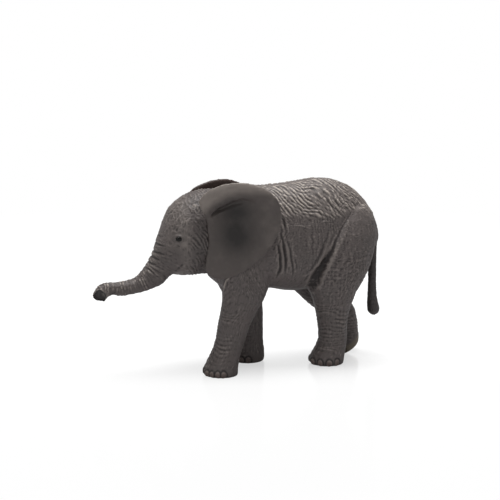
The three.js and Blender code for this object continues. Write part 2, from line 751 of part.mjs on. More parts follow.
addPiece('torso', torso, hide);
addPiece('head', head, hide);
addPiece('tail', solidOf(tailShape()), tailHide);

// The origin is the middle of the figure's box, at the height of its soles.
const box = new THREE.Box3().setFromObject(figure, true);
const middle = box.getCenter(new THREE.Vector3());
figure.position.set(-middle.x, -middle.y, -box.min.z);
figure.updateMatrixWorld(true);

export default figure;
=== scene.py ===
# %% [markdown]
# # A hand-painted elephant calf, 96 mm long
# The real object is a small figure of a walking African elephant calf, moulded in solid PVC and
# painted by hand. The frame holds its nine glued mouldings as plain solids. Here each one gets the
# skin that a sculptor would give it: creases, folds, toenails and eyes, then paint, a dark wash in
# the creases and a dry brush over the ridges. The wash also paints in the shade of the creases, and
# the brush a painted highlight on the ridges.

# %% Load the frame
import itertools
import math

import bmesh
import bpy
import numpy as np
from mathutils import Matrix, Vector
from mathutils.bvhtree import BVHTree


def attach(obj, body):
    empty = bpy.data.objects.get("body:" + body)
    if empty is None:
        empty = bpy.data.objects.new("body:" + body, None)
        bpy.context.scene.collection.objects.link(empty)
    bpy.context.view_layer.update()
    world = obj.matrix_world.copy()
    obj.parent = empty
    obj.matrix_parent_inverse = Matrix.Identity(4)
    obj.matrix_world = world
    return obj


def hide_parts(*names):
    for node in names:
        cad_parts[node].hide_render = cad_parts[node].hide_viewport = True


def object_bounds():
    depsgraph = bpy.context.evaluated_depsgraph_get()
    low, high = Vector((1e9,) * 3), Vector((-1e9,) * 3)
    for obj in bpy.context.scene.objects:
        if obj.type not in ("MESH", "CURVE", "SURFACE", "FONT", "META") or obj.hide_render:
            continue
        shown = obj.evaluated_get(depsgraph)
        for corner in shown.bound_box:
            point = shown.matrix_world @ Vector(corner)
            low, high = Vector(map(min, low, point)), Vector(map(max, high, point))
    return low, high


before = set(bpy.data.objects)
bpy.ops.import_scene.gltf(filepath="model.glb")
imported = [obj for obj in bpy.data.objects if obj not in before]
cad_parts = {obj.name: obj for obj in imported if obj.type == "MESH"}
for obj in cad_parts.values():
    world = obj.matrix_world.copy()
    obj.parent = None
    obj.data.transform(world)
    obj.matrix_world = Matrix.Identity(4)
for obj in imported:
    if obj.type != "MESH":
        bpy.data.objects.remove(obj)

MM = 0.001
cad_low, cad_high = [np.array(corner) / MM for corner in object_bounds()]
print("CAD box in mm", (cad_high - cad_low).round(2))

# %% [markdown]
# ## Camera
# The photograph was taken from the calf's left, a little from ahead and from above. A long lens
# keeps the far legs almost as large as the near ones. The aim and the turn come first, because
# they decide which details can be seen at all. The small shift only frames the picture: the figure
# stands a little left of the middle and below it.

# %% Camera
def placed(name, data):
    """A new object of this data in the scene."""
    thing = bpy.data.objects.new(name, data)
    bpy.context.collection.objects.link(thing)
    return thing


VIEW_TURN, VIEW_RISE = math.radians(-24), math.radians(11)
VIEW_DISTANCE = 450 * MM
VIEW_TARGET = Vector((-3.87, 1.46, 28.8)) * MM
SENSOR_MM, LENS_MM = 36, 103.68
FRAME_SHIFT = (0.03, 0.056)
toward_camera = Vector((
    math.sin(VIEW_TURN) * math.cos(VIEW_RISE),
    -math.cos(VIEW_TURN) * math.cos(VIEW_RISE),
    math.sin(VIEW_RISE),
))
camera_data = bpy.data.cameras.new("camera")
camera_data.sensor_width = SENSOR_MM
camera_data.lens = LENS_MM
camera_data.shift_x, camera_data.shift_y = FRAME_SHIFT
camera_data.clip_end = 20
camera = placed("camera", camera_data)
camera.location = VIEW_TARGET + toward_camera * VIEW_DISTANCE
camera.rotation_euler = toward_camera.to_track_quat("Z", "Y").to_euler()
bpy.context.scene.camera = camera
bpy.context.scene.view_settings.view_transform = "Standard"
print("camera at", [round(c / MM) for c in camera.location])

# %% [markdown]
# ## Meshes as arrays
# A skin of this many points can't be shaped point by point in reasonable time. Blender hands them
# all over as one long row of numbers, and numpy works on the whole row in one step. Arrays hold
# millimetres, and meshes hold metres.

# %% Read and write meshes as arrays
def points_of(mesh):
    flat = np.empty(len(mesh.vertices) * 3, dtype=np.float32)
    mesh.vertices.foreach_get("co", flat)
    return flat.reshape(-1, 3).astype(float) / MM


def quads_of(mesh):
    corners = np.empty(len(mesh.loops), dtype=np.int32)
    mesh.loops.foreach_get("vertex_index", corners)
    return corners.reshape(-1, 4)


def values_of(mesh, name):
    values = np.empty(len(mesh.vertices), dtype=np.float32)
    mesh.attributes[name].data.foreach_get("value", values)
    return values.astype(float)


def store_values(mesh, name, values):
    attribute = mesh.attributes.new(name, "FLOAT", "POINT")
    attribute.data.foreach_set("value", values.astype(np.float32))


def with_modifier(mesh, kind, **settings):
    """The mesh that one modifier makes of this mesh."""
    holder = placed("work", mesh)
    modifier = holder.modifiers.new("work", kind)
    for name, value in settings.items():
        setattr(modifier, name, value)
    graph = bpy.context.evaluated_depsgraph_get()
    made = bpy.data.meshes.new_from_object(holder.evaluated_get(graph))
    bpy.data.objects.remove(holder)
    return made


def subdivided(name, points, faces, values):
    """The mesh with each square split in four, and with the named values worked out between its points."""
    coarse = bpy.data.meshes.new(name)
    coarse.from_pydata((points * MM).tolist(), [], faces.tolist())
    for key, coarse_values in values.items():
        store_values(coarse, key, coarse_values)
    return with_modifier(coarse, "SUBSURF", levels=1, render_levels=1)


print(len(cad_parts), "solids")

# %% [markdown]
# ## From plain solids to one skin
# A sculptor works on one continuous body, and only the mould maker parts it. So copies of all the
# body's solids are swollen until their glue gaps close, and a voxel remesh turns them into one even
# skin of small squares. Even squares matter: every later detail is a move of these points, and a
# point can only carry a crease that is wider than its square.

# %% Swell the solids and keep the outside
WELD_MM = 0.002


def swollen_solids(names, swell):
    """The nodes' solids in one mesh, each pushed out along its normals."""
    shape = bmesh.new()
    for name in names:
        shape.from_mesh(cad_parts[name].data)
    bmesh.ops.remove_doubles(shape, verts=shape.verts, dist=WELD_MM * MM)
    shape.normal_update()
    for vertex in shape.verts:
        vertex.co += vertex.normal * swell * MM
    mesh = bpy.data.meshes.new("swollen")
    shape.to_mesh(mesh)
    shape.free()
    return mesh


def largest_island(count, edges):
    """True for the points of the largest connected part: the lowest number spreads over each part."""
    island = np.arange(count)
    while True:
        lowest = island.copy()
        np.minimum.at(lowest, edges[:, 0], island[edges[:, 1]])
        np.minimum.at(lowest, edges[:, 1], island[edges[:, 0]])
        lowest = lowest[lowest]
        if (lowest == island).all():
            return island == np.bincount(island).argmax()
        island = lowest


# %% Smooth a skin
def sides_of(faces):
    return np.concatenate([faces[:, [i, (i + 1) % 4]] for i in range(4)])


def edges_of(faces):
    return np.unique(np.sort(sides_of(faces), axis=1), axis=0)


def neighbour_mean(values, edges):
    """The mean of each point's neighbours, for one value a point or for a row of them."""
    columns = values.reshape(len(values), -1)
    first, second = edges[:, 0], edges[:, 1]
    count = np.bincount(first, minlength=len(values)) + np.bincount(second, minlength=len(values))
    sums = np.stack([
        np.bincount(first, column[second], len(values)) + np.bincount(second, column[first], len(values))
        for column in columns.T
    ], axis=1)
    return (sums / np.maximum(count, 1)[:, None]).reshape(values.shape)


def surroundings(values, edges, rounds):
    """The values blurred over the neighbours, further with each round."""
    for _ in range(rounds):
        values = neighbour_mean(values, edges)
    return values


DRAW_IN, LET_OUT = 0.6, 0.62


def relaxed(points, edges, rounds):
    """Evens out facets without shrinking: each round draws points in, then lets them out again."""
    for _ in range(rounds):
        points = points + DRAW_IN * (neighbour_mean(points, edges) - points)
        points = points - LET_OUT * (neighbour_mean(points, edges) - points)
    return points


def normals_of(points, faces):
    across = np.cross(points[faces[:, 2]] - points[faces[:, 0]], points[faces[:, 3]] - points[faces[:, 1]])
    sums = np.stack([
        sum(np.bincount(faces[:, i], across[:, axis], len(points)) for i in range(4)) for axis in range(3)
    ], axis=1)
    return sums / np.maximum(np.linalg.norm(sums, axis=1, keepdims=True), 1e-12)


# %% Remesh the body
def moulding(names, swell, pitch, rounds):
    """One even skin over the nodes, back at their real size, as points and square faces."""
    mesh = with_modifier(swollen_solids(names, swell), "REMESH", mode="VOXEL", voxel_size=pitch * MM)
    points, faces = points_of(mesh), quads_of(mesh)
    keep = largest_island(len(points), edges_of(faces))
    number = np.cumsum(keep) - 1
    faces = number[faces[keep[faces[:, 0]]]]
    points = relaxed(points[keep], edges_of(faces), rounds)
    points = points - normals_of(points, faces) * swell
    return points, faces


LEG_NODES = ["foreleg_left", "foreleg_right", "hind_leg_left", "hind_leg_right"]
BODY_NODES = ["torso", "head", *LEG_NODES, "tail"]
EAR_NODES = ["ear_left", "ear_right"]
GLUE_SWELL = 0.2  # two solids swell by more than the glue gap of 0.3 mm between them
BODY_PITCH, BODY_ROUNDS = 0.42, 14
body_points, body_faces = moulding(BODY_NODES, GLUE_SWELL, BODY_PITCH, BODY_ROUNDS)
print("body skin", len(body_points), "points,", len(body_faces), "squares")

# %% [markdown]
# ## Whose skin is it?
# The one skin has to go back into the mouldings of the real figure. The distance from each point
# to each solid says which moulding it belongs to, and how near the next one is. The distances are
# stored on the points before the skin is subdivided, so Blender works out the values in between.

# %% Distances to the solids
def distances_to(name, points):
    solid = swollen_solids([name], 0)
    faces = [tuple(face.vertices) for face in solid.polygons]
    tree = BVHTree.FromPolygons(points_of(solid).tolist(), faces)
    return np.array([tree.find_nearest(point)[3] for point in points.tolist()])


to_solids = {node: distances_to(node, body_points) for node in BODY_NODES}
to_solids["by_ear"] = np.minimum.reduce([distances_to(node, body_points) for node in EAR_NODES])
fine = subdivided("coarse", body_points, body_faces, to_solids)
skin, skin_faces = points_of(fine), quads_of(fine)
apart = {node: values_of(fine, node) for node in BODY_NODES}
by_ear = values_of(fine, "by_ear")
skin_edges = edges_of(skin_faces)
skin_normals = normals_of(skin, skin_faces)
print("fine skin", len(skin), "points")

# %% [markdown]
# ## Patterns for elephant hide
# Elephant hide cracks into cells with creases between them, and the cells are drawn out along the
# lines where the skin folds. A cell pattern does the same: scattered seeds, and a crease wherever
# two seeds are equally near. Stretching the coordinates before the pattern is taken draws the
# cells out, and a soft noise bends them so that no line is straight. Every pattern looks its random
# numbers up in one fixed block, so the hide comes out the same on every run.

# %% Soft noise
BLOCK_SIDE = 64
LATTICE = np.random.default_rng(11).random((BLOCK_SIDE, BLOCK_SIDE, BLOCK_SIDE, 3))


def looked_up(cells, seed):
    """Three fixed random numbers from 0 to 1 for each whole-number place."""
    shifted = (cells + np.array([seed * 7, seed * 13, seed * 29])) % BLOCK_SIDE
    return LATTICE[shifted[:, 0], shifted[:, 1], shifted[:, 2]]


def soft_noise(places, size, seed):
    """Three soft random values from -1 to 1 a point, which change over about this many mm."""
    scaled = places / size
    base = np.floor(scaled).astype(int)
    blend = scaled - base
    blend = blend * blend * (3 - 2 * blend)
    total = np.zeros((len(places), 3))
    for corner in itertools.product((0, 1), repeat=3):
        weight = np.prod(np.where(corner, blend, 1 - blend), axis=1)
        total += looked_up(base + np.array(corner), seed) * weight[:, None]
    return total * 2 - 1


def stretched_noise(along, across, length, width, seed):
    """Soft noise drawn out along one coordinate."""
    return soft_noise(np.stack([along / length, across / width, np.zeros(len(along))], axis=1), 1.0, seed)


def ramp(values, low, high):
    """0 below low, 1 above high, and a soft step between."""
    share = np.clip((values - low) / (high - low), 0, 1)
    return share * share * (3 - 2 * share)


print(LATTICE.size, "random numbers")

# %% Cells, wrinkles and nets
def cell_borders(along, across, seed):
    """How far each point is from the nearest crease, in cells, and its own cell's random number."""
    places = np.stack([along, across, np.zeros(len(along))], axis=1)
    base = np.floor(places).astype(int)
    first = np.full(len(places), 9.0)
    second = first.copy()
    tag = np.zeros(len(places))
    for step in itertools.product((-1, 0, 1), repeat=2):
        cell = base + np.array([*step, 0])
        drawn = looked_up(cell, seed)
        seeds = cell[:, :2] + 0.08 + 0.84 * drawn[:, :2]
        gap = np.hypot(seeds[:, 0] - places[:, 0], seeds[:, 1] - places[:, 1])
        nearer = gap < first
        second = np.where(nearer, first, np.minimum(second, gap))
        first = np.where(nearer, gap, first)
        tag = np.where(nearer, drawn[:, 2], tag)
    return second - first, tag


def creases(along, across, length, pitch, seed, open_share=0.28):
    """-1 in a crease to about 0.5 on the crown of a cell, for cells of this length and pitch."""
    border, tag = cell_borders(along / length, across / pitch, seed)
    crown = ramp(border, 0, open_share + 0.5)
    groove = 1 - ramp(border, 0, open_share)
    return crown * (0.25 + 0.5 * tag) - groove * (0.55 + 0.45 * tag)


def wrinkles(along, across, length, pitch, seed, wander=0.9, uneven=0.75):
    """Wavy folds side by side, one every pitch: 1 on a crest, 0 in the crease between two."""
    drift = stretched_noise(along, across, length, 2.2 * pitch, seed)
    crest = np.abs(np.sin(np.pi * (across / pitch + wander * drift[:, 0]))) ** 1.3
    return crest * np.clip(0.6 + uneven * drift[:, 1], 0.05, 1.1)


def ridge_net(places, size, seed):
    """Thin branching ridges with meshes of about this many mm: 1 on a ridge, 0 away from it."""
    return 1 - ramp(np.abs(soft_noise(places, size, seed)[:, 0]), 0, 0.35)


# %% [markdown]
# ## Coordinates that follow the animal
# A pattern that ignored the body would run across it like wallpaper. So every point also gets
# places that follow the animal: how far behind the neck it lies, how far round the barrel, and
# where it would be on a head that looks straight ahead.

# %% Coordinates that follow the animal
NECK = np.array([-5.87, 1.46])
HEAD_TURN = math.radians(9)
HEAD_COS, HEAD_SIN = math.cos(HEAD_TURN), math.sin(HEAD_TURN)
BARREL_MIDDLE, BARREL_RADIUS = 41, 15
BLEND_MM = 0.7  # how far one moulding's hide reaches over the seam into the next one's


def as_head_turns(direction):
    """A direction on the straight head, where the turned head takes it."""
    x, y, z = direction
    return np.array([HEAD_COS * x + HEAD_SIN * y, HEAD_COS * y - HEAD_SIN * x, z])


def along_line(places, line):
    """The distance to a line of points in a plane, and the length and row share passed on it."""
    best = np.full(len(places), 1e9)
    passed = np.zeros(len(places))
    row = np.zeros(len(places))
    start = 0.0
    for index, (a, b) in enumerate(zip(line[:-1], line[1:])):
        step = b - a
        size = math.hypot(*step)
        share = (places - a) @ step / size ** 2
        inside = np.clip(share, 0, 1)
        gap = np.linalg.norm(places - a - inside[:, None] * step, axis=1)
        nearer = gap < best
        best = np.where(nearer, gap, best)
        passed = np.where(nearer, start + inside * size, passed)
        row = np.where(nearer, index + inside, row)
        start += size
    return best, passed, row


behind, sideways = skin[:, 0] - NECK[0], skin[:, 1] - NECK[1]
height = skin[:, 2]
side_out = np.abs(sideways)
# Places on the straight head: head_x is negative ahead of the neck
head_x = HEAD_COS * behind - HEAD_SIN * sideways
head_out = HEAD_SIN * behind + HEAD_COS * sideways
head_places = np.stack([head_x, head_out, height], axis=1)
# Moves of up to about 1 mm bend every pattern, and broad patches make it uneven
warp = soft_noise(skin, 5.0, 1) * 0.9 + soft_noise(skin, 1.7, 2) * 0.3
patchy = soft_noise(skin, 7.0, 8)
torso_round = BARREL_RADIUS * np.arctan2(side_out, height - BARREL_MIDDLE)
nearest = np.argmin(np.stack([apart[node] for node in BODY_NODES]), axis=0)
weights = np.stack([np.exp(-apart[node] / BLEND_MM) for node in BODY_NODES])
weights /= weights.sum(axis=0)
near = dict(zip(BODY_NODES, weights))
print("points by moulding", dict(zip(BODY_NODES, np.bincount(nearest).tolist())))

# %% [markdown]
# ## The barrel
# Along the back the hide hangs in long slanting folds, and others cross them into a coarse net that
# catches a dry brush. Down the flank they fade into a smooth skin with fine upright lines and a few
# broad waves beside the haunch. Toward the rump the net gets lower.

# %% Back
barrel = near["torso"] + near["hind_leg_left"] + near["hind_leg_right"]
# Places behind the neck, and the height at which the folds end there
FOLDS_END = ([0, 10, 19, 26, 33, 38, 42, 50], [49.6, 49.2, 48.2, 47.2, 47.4, 49.0, 48.0, 44.0])
FOLDS_FADE = 1.8
folds_end = np.interp(behind, *FOLDS_END)
back_skin = ramp(height + warp[:, 0] * 1.6, folds_end - FOLDS_FADE, folds_end + FOLDS_FADE) * barrel
# The folds run steeply down the side at the shoulder and lie flatter toward the rump: lines
# through one far point, so the distance to that point numbers them
LEAN_AT_NECK, LEAN_LOSS = math.radians(76), math.radians(0.65)
OTHER_SIDE = 40.0  # takes the far side's folds from another part of the pattern
lean = LEAN_AT_NECK - LEAN_LOSS * behind
slant = (torso_round - 1 / LEAN_LOSS) * np.cos(lean) + warp[:, 1] * 0.4
slant += OTHER_SIDE * (sideways > 0)
along_back = torso_round * np.sin(lean) + behind * np.cos(lean) + warp[:, 0]
rump = ramp(behind + warp[:, 1] * 2, 29, 36)
long_folds = wrinkles(along_back, slant, 6.0, 1.25, 3, 0.8, 0.6)
wide_folds = wrinkles(along_back, slant, 9.0, 2.9, 33, 0.6)
crossed = slant + (0.5 - 0.1 * rump) * along_back + warp[:, 2]
crossing = wrinkles(along_back, crossed, 5.0, 1.4, 34, 0.7, 0.8)
fine_net = ridge_net(np.stack([along_back / 3.2, slant / 0.7, warp[:, 0]], axis=1), 1.0, 35)
back_net = creases(along_back + warp[:, 2], slant + 0.5 * warp[:, 2], 1.9, 0.8, 4)
cross_folds = wrinkles(slant, along_back + 0.4 * slant + warp[:, 2], 1.8, 1.2, 5, 0.7)
# Each pattern's share is its height in mm. Along the spine only a fine net is left of them
off_spine = back_skin * ramp(side_out, 0.2, 2.4)
relief = off_spine * (0.24 * (1 - 0.5 * rump) * long_folds + 0.17 * (1 - 0.3 * rump) * wide_folds)
relief += off_spine * ((0.2 - 0.08 * rump) * crossing + 0.05 * back_net)
relief += off_spine * ((0.07 + 0.04 * rump) * fine_net + 0.05 * (1 + patchy[:, 0]) * cross_folds)
relief += (back_skin - off_spine) * (0.09 * ridge_net(skin, 0.9, 36) + 0.1 * (1 + patchy[:, 1]))
print(f"highest fold of the back {relief.max():.2f} mm")

# %% Flank
flank_skin = (barrel - back_skin) * ramp(height, 18, 30)
upright = wrinkles(height + warp[:, 0], behind + warp[:, 1] * 1.4, 5.0, 1.15, 6, 1.1)
pebbles = creases(behind + warp[:, 0], height + skin[:, 1] + warp[:, 2], 1.2, 0.85, 6)
grit = ridge_net(skin, 1.1, 17)
hind = near["hind_leg_left"] + near["hind_leg_right"]
flank_lines = 0.11 * (1 - 0.5 * hind) * (1 + 0.9 * patchy[:, 1]) * upright
relief += flank_skin * (flank_lines + 0.06 * pebbles + 0.06 * grit)
haunch_starts = ramp(behind - 0.55 * (height - 40), 30, 34)
beside_haunch = ramp(behind, 15, 21) * (1 - haunch_starts) * ramp(height, 24, 30)
waves = wrinkles(height - 0.5 * behind, behind - 0.62 * height + warp[:, 1], 16.0, 3.1, 15, 0.6)
relief += flank_skin * beside_haunch * 0.16 * waves
print("flank points", int(flank_skin.sum()))

# %% [markdown]
# ## Deep folds
# A few folds are so deep that they are drawn one by one, each as a line on the animal's side with
# a half width and a depth at every point, and with a soft swelling along both its lips. A negative
# depth makes a raised line. Both flanks get them, because a sculptor works both sides alike.

# %% Fold tool
LIP_AT, LIP_WIDE = 1.9, 0.8  # in half widths of the fold
# The dark paint in a fold is a wash and painted shade of the fold together
DARK_AT_MM, DARK_MOST = 1.2, 0.62  # the wash in a fold grows with its depth, up to a limit


def widths_of(places):
    """How wide a fold is at each place, against its written width."""
    return 1 + 0.4 * stretched_noise(places[:, 0], places[:, 1], 3.5, 3.5, 31)[:, 0]


def folded(places, widths, line, lips=0.15):
    """The depth of a fold drawn as rows of (place, height, half width, depth) in mm, and its wash, which
    also paints in the fold's shade.
    """
    line = np.array(line, dtype=float)
    gap, _, row = along_line(places, line[:, :-2])
    rows = np.arange(len(line))
    half = np.interp(row, rows, line[:, -2]) * widths
    depth = np.interp(row, rows, line[:, -1])
    core = np.exp(-(gap / half) ** 2)
    lip = np.exp(-((gap / half - LIP_AT) / LIP_WIDE) ** 2)
    return depth * (core - lips * lip), core * np.clip(depth / DARK_AT_MM, 0, DARK_MOST)


# %% Folds of the flank and haunch
# Places behind the neck, heights, half widths and depths
FLANK_FOLDS = [
    [(12.5, 49.6, 0.25, 0), (13.0, 47.8, 0.3, 0.3), (13.2, 46.2, 0.3, 0.35), (13.1, 44.4, 0.25, 0)],
    [(11.5, 44.8, 0.25, 0), (12.2, 41.8, 0.3, 0.28), (12.8, 38.8, 0.4, 0.5), (13.1, 35.9, 0.5, 0.6),
     (13.2, 33.3, 0.35, 0.25), (13.1, 31.4, 0.3, 0)],
    [(10.5, 41.8, 0.25, 0), (11.2, 38.5, 0.35, 0.45), (11.4, 35.3, 0.45, 0.5), (11.6, 32.4, 0.4, 0.5),
     (10.8, 30.0, 0.3, 0)],
    [(13.0, 43.9, 0.25, 0), (14.2, 39.9, 0.3, 0.18), (15.1, 35.7, 0.35, 0.28), (16.0, 32.1, 0.3, 0.12),
     (16.2, 30.6, 0.3, 0)],
    [(15.6, 38.4, 0.25, 0), (16.7, 34.6, 0.3, 0.12), (17.3, 31.2, 0.3, 0)],
    [(13.8, 45.9, 0.22, 0), (18.4, 46.0, 0.22, -0.14), (24.2, 44.7, 0.22, 0)],
    [(25.0, 46.2, 0.22, 0), (26.8, 46.6, 0.22, -0.18), (29.5, 46.8, 0.22, 0)],
    [(28.6, 44.6, 0.3, 0), (27.6, 41.5, 0.45, 0.08), (26.2, 38.2, 0.5, 0.12), (24.4, 35.2, 0.5, 0.1),
     (22.0, 32.8, 0.4, 0)],
    [(29.9, 44.8, 0.5, 0), (28.8, 41.8, 0.6, -0.12), (27.0, 37.3, 0.7, -0.22), (25.2, 34.0, 0.7, -0.26),
     (22.9, 31.5, 0.6, -0.22), (20.7, 30.0, 0.5, -0.12), (18.8, 29.3, 0.5, 0)],
    [(35.4, 44.6, 0.4, 0), (33.6, 41.9, 0.5, -0.08), (31.4, 38.4, 0.6, -0.14), (29.2, 34.6, 0.6, -0.12),
     (27.4, 31.0, 0.4, 0)],
    [(35.8, 42.0, 0.3, 0), (33.6, 38.6, 0.4, 0.08), (31.6, 35.2, 0.4, 0.08), (29.2, 31.4, 0.3, 0)],
]
HAUNCH_FOLD = [
    (38.6, 49.6, 0.22, 0), (37.0, 48.1, 0.22, 0.07), (34.8, 46.0, 0.25, 0.1), (32.6, 43.4, 0.28, 0.14),
    (30.9, 40.2, 0.35, 0.24), (29.6, 37.6, 0.55, 0.5), (27.9, 35.2, 0.8, 0.8), (25.8, 32.0, 1.0, 1.0),
    (24.4, 29.2, 1.15, 1.15), (24.1, 26.0, 0.9, 0.7), (24.8, 23.6, 0.6, 0),
]
side_places = np.stack([behind, height], axis=1) + warp[:, [0, 1]] * 0.35
on_side = ramp(side_out, 5.0, 9.0) * barrel
deep_shade = np.zeros(len(skin))
side_widths = widths_of(side_places)
# Each fold also darkens the paint along it with painted shade
for fold in FLANK_FOLDS + [HAUNCH_FOLD]:
    depth, dark = folded(side_places, side_widths, fold)
    relief -= depth * on_side
    deep_shade = np.maximum(deep_shade, dark * on_side)
print(f"deepest fold {relief.min():.2f} mm")

# %% [markdown]
# ## Head and trunk
# The trunk is ringed with creases square to its line, close together at the tip and deep at the
# root. Above them the face is finely pitted, and the cheek is drawn into long curved wrinkles.

# %% Trunk rings
TRUNK_LINE = np.array([
    (-11.5, 52.5), (-15.5, 46.0), (-18.6, 40.5), (-21.2, 35.9), (-22.9, 33.3), (-24.8, 31.1), (-27.0, 29.4),
    (-29.3, 28.2), (-32.1, 27.6), (-35.0, 27.2), (-37.5, 27.4), (-39.5, 27.1), (-41.1, 25.8), (-41.8, 25.1),
])
RING_DEPTHS = ([10, 20, 25, 30, 45], [0.06, 0.12, 0.2, 0.26, 0.24])  # mm along the trunk, depths in mm
_, trunk_passed, _ = along_line(head_places[:, [0, 2]], TRUNK_LINE)
head_skin = near["head"]
trunk_skin = ramp(-head_x, 19.5, 23.0) * head_skin
root_skin = ramp(-head_x, 15.0, 19.0) * ramp(-height, -42.5, -38.5) * head_skin
ringed = np.maximum(trunk_skin, root_skin)
round_trunk = head_out * 1.3
rings = wrinkles(round_trunk + warp[:, 0], trunk_passed + warp[:, 1] * 0.5, 2.2, 1.0, 7, 0.65, 0.8)
trunk_net = creases(trunk_passed + warp[:, 2], round_trunk + 0.8 * height + warp[:, 0], 0.9, 1.4, 27)
ring_depth = np.interp(trunk_passed, *RING_DEPTHS)
on_top = 0.45 + 0.55 * ramp(skin_normals[:, 2], -0.6, 0.3)
relief += ringed * (ring_depth * on_top * (1 + 0.5 * patchy[:, 1]) * rings + 0.07 * trunk_net)
print(f"trunk line {trunk_passed.max():.1f} mm")

# %% Face, crown and cheek
face = head_skin * (1 - ringed)
crown = ramp(height + warp[:, 0], 49.0, 54.0) * face
cheek = face * ramp(head_x, -16.0, -12.0)
forehead = 1 - ramp(head_x, -15.5, -11.5)
down_cheek = height - 0.7 * head_x + warp[:, 0]
over_cheek = head_x + 0.7 * height + warp[:, 1] * 0.7
cheek_lines = wrinkles(down_cheek, over_cheek, 3.2, 1.2, 8, 0.6)
over_crown = head_x + 0.2 * height + warp[:, 1] * 0.7
crown_lines = wrinkles(height - head_out * 0.3, over_crown, 2.0, 1.0, 9, 0.6)
face_pits = ridge_net(head_places * (1.0, 1.0, 0.8), 0.8, 10)
relief += cheek * (1 - crown) * 0.34 * (1 + 0.4 * patchy[:, 2]) * cheek_lines
relief += crown * (0.16 + 0.1 * cheek) * (1 - 0.75 * forehead) * crown_lines + face * 0.1 * face_pits
relief += face * 0.09 * ridge_net(head_places, 1.5, 18)
print("cheek points", int(cheek.sum()), "crown points", int(crown.sum()))

# %% Folds of the face and strokes across the trunk
FACE_FOLDS = [
    [(-12.0, 33.9, 0.4, 0), (-13.6, 34.1, 0.5, 0.1), (-15.2, 34.8, 0.5, 0)],
    [(-16.3, 36.5, 0.3, 0), (-17.0, 34.8, 0.4, 0.2), (-18.0, 33.2, 0.4, 0.12), (-18.7, 32.2, 0.4, 0)],
    [(-20.2, 46.8, 0.7, 0), (-18.4, 46.1, 0.9, 0.06), (-16.2, 46.2, 0.7, 0)],
    [(-19.6, 41.8, 0.6, 0), (-17.9, 41.4, 0.7, 0.06), (-16.2, 42.0, 0.6, 0)],
    [(-20.8, 42.7, 0.8, 0), (-20.0, 42.0, 0.9, 0.11), (-19.2, 41.3, 0.8, 0)],
]
TRUNK_STROKES = [
    [(-23.2, 43.7, 0.2, 0), (-22.2, 43.3, 0.22, 0.09), (-21.4, 43.1, 0.2, 0)],
    [(-24.0, 41.6, 0.2, 0), (-22.8, 41.0, 0.22, 0.16), (-21.2, 40.6, 0.2, 0)],
    [(-25.0, 39.4, 0.2, 0), (-23.8, 38.7, 0.25, 0.24), (-21.6, 38.2, 0.2, 0)],
    [(-25.5, 37.5, 0.2, 0), (-24.2, 36.9, 0.25, 0.18), (-22.3, 36.2, 0.2, 0)],
    [(-26.2, 35.6, 0.2, 0), (-24.8, 35.1, 0.25, 0.24), (-22.9, 34.5, 0.2, 0)],
    [(-27.0, 34.0, 0.2, 0), (-25.8, 33.4, 0.22, 0.16), (-24.2, 32.4, 0.2, 0)],
]
STROKE_DEEPER, STROKE_WIDER = 1.5, 1.3
# Pale dabs of the dry brush under the eye, over the brow and at the crown: place, height, radius, share
FACE_DABS = [(-16.6, 42.0, 0.9, 0.3), (-15.9, 48.9, 0.9, 0.2), (-12.4, 53.0, 0.5, 0.5)]
on_cheek = ramp(np.abs(head_out), 2.5, 4.5) * head_skin
face_places = head_places[:, [0, 2]] + warp[:, [0, 1]] * 0.2
face_widths = widths_of(face_places)
# Each face fold also darkens the paint along it with painted shade
for fold in FACE_FOLDS:
    depth, dark = folded(face_places, face_widths, fold)
    relief -= depth * on_cheek
    deep_shade = np.maximum(deep_shade, dark * on_cheek)
for stroke in TRUNK_STROKES:
    relief -= STROKE_DEEPER * folded(face_places, STROKE_WIDER * face_widths, stroke)[0] * head_skin
dabs = sum(
    share * np.exp(-((head_x - x) ** 2 + (height - z) ** 2) / radius ** 2)
    for x, z, radius, share in FACE_DABS
)
dabs *= on_cheek * (0.7 + 0.5 * soft_noise(skin, 1.0, 28)[:, 0])
print("folds", len(FACE_FOLDS), "strokes", len(TRUNK_STROKES), "dabs", len(FACE_DABS))

# %% [markdown]
# ## The tip of the trunk
# The trunk ends in a slanted face with two nostrils behind a thin raised rim. The face is sunk like
# a bowl, and its dark paint, a painted shade of the openings, makes it read as one opening. The
# near corner of the tip hangs a little lower, so it is pulled there, which a move along the normals
# couldn't do.

# %% Tip of the trunk
TIP = np.array([-41.26, 0.0, 25.78])
TIP_TURN, TIP_DROP = math.radians(48), math.radians(32)
TIP_REACH, NOSTRIL_DEPTH = 5, 0.55
tip_out = np.array([
    -math.cos(TIP_DROP) * math.cos(TIP_TURN), -math.cos(TIP_DROP) * math.sin(TIP_TURN), -math.sin(TIP_DROP),
])
tip_across = np.array([math.sin(TIP_TURN), -math.cos(TIP_TURN), 0.0])
tip_up = np.cross(tip_out, tip_across)
from_tip = head_places - TIP
ahead_of_tip = from_tip @ tip_out
by_tip = np.linalg.norm(from_tip, axis=1) < TIP_REACH
near_tip = ramp(ahead_of_tip, -1.6, -0.3) * by_tip * head_skin
faced = skin_normals @ as_head_turns(tip_out)
face_middle = from_tip[faced * near_tip > 0.8].mean(axis=0)
in_disc = 1 - ramp(np.linalg.norm(from_tip - face_middle, axis=1), 1.5, 2.2)
nostril = np.maximum(ramp(faced, 0.7, 0.88), in_disc) * near_tip
within = surroundings(nostril, skin_edges, 6)
relief = relief * (1 - nostril) - NOSTRIL_DEPTH * ramp(within, 0.7, 1.0)
print("tip points", int(nostril.sum()))

# %% Pull the tip into shape
# The trunk is a little slimmer just behind the tip
SLIM_AT, SLIM_HALF = 38.0, 1.6  # mm along the trunk
underneath = ramp(-skin_normals[:, 2], -0.3, 0.6)
slim = np.exp(-((trunk_passed - SLIM_AT) / SLIM_HALF) ** 2)
relief -= head_skin * slim * (0.05 + 0.32 * underneath)
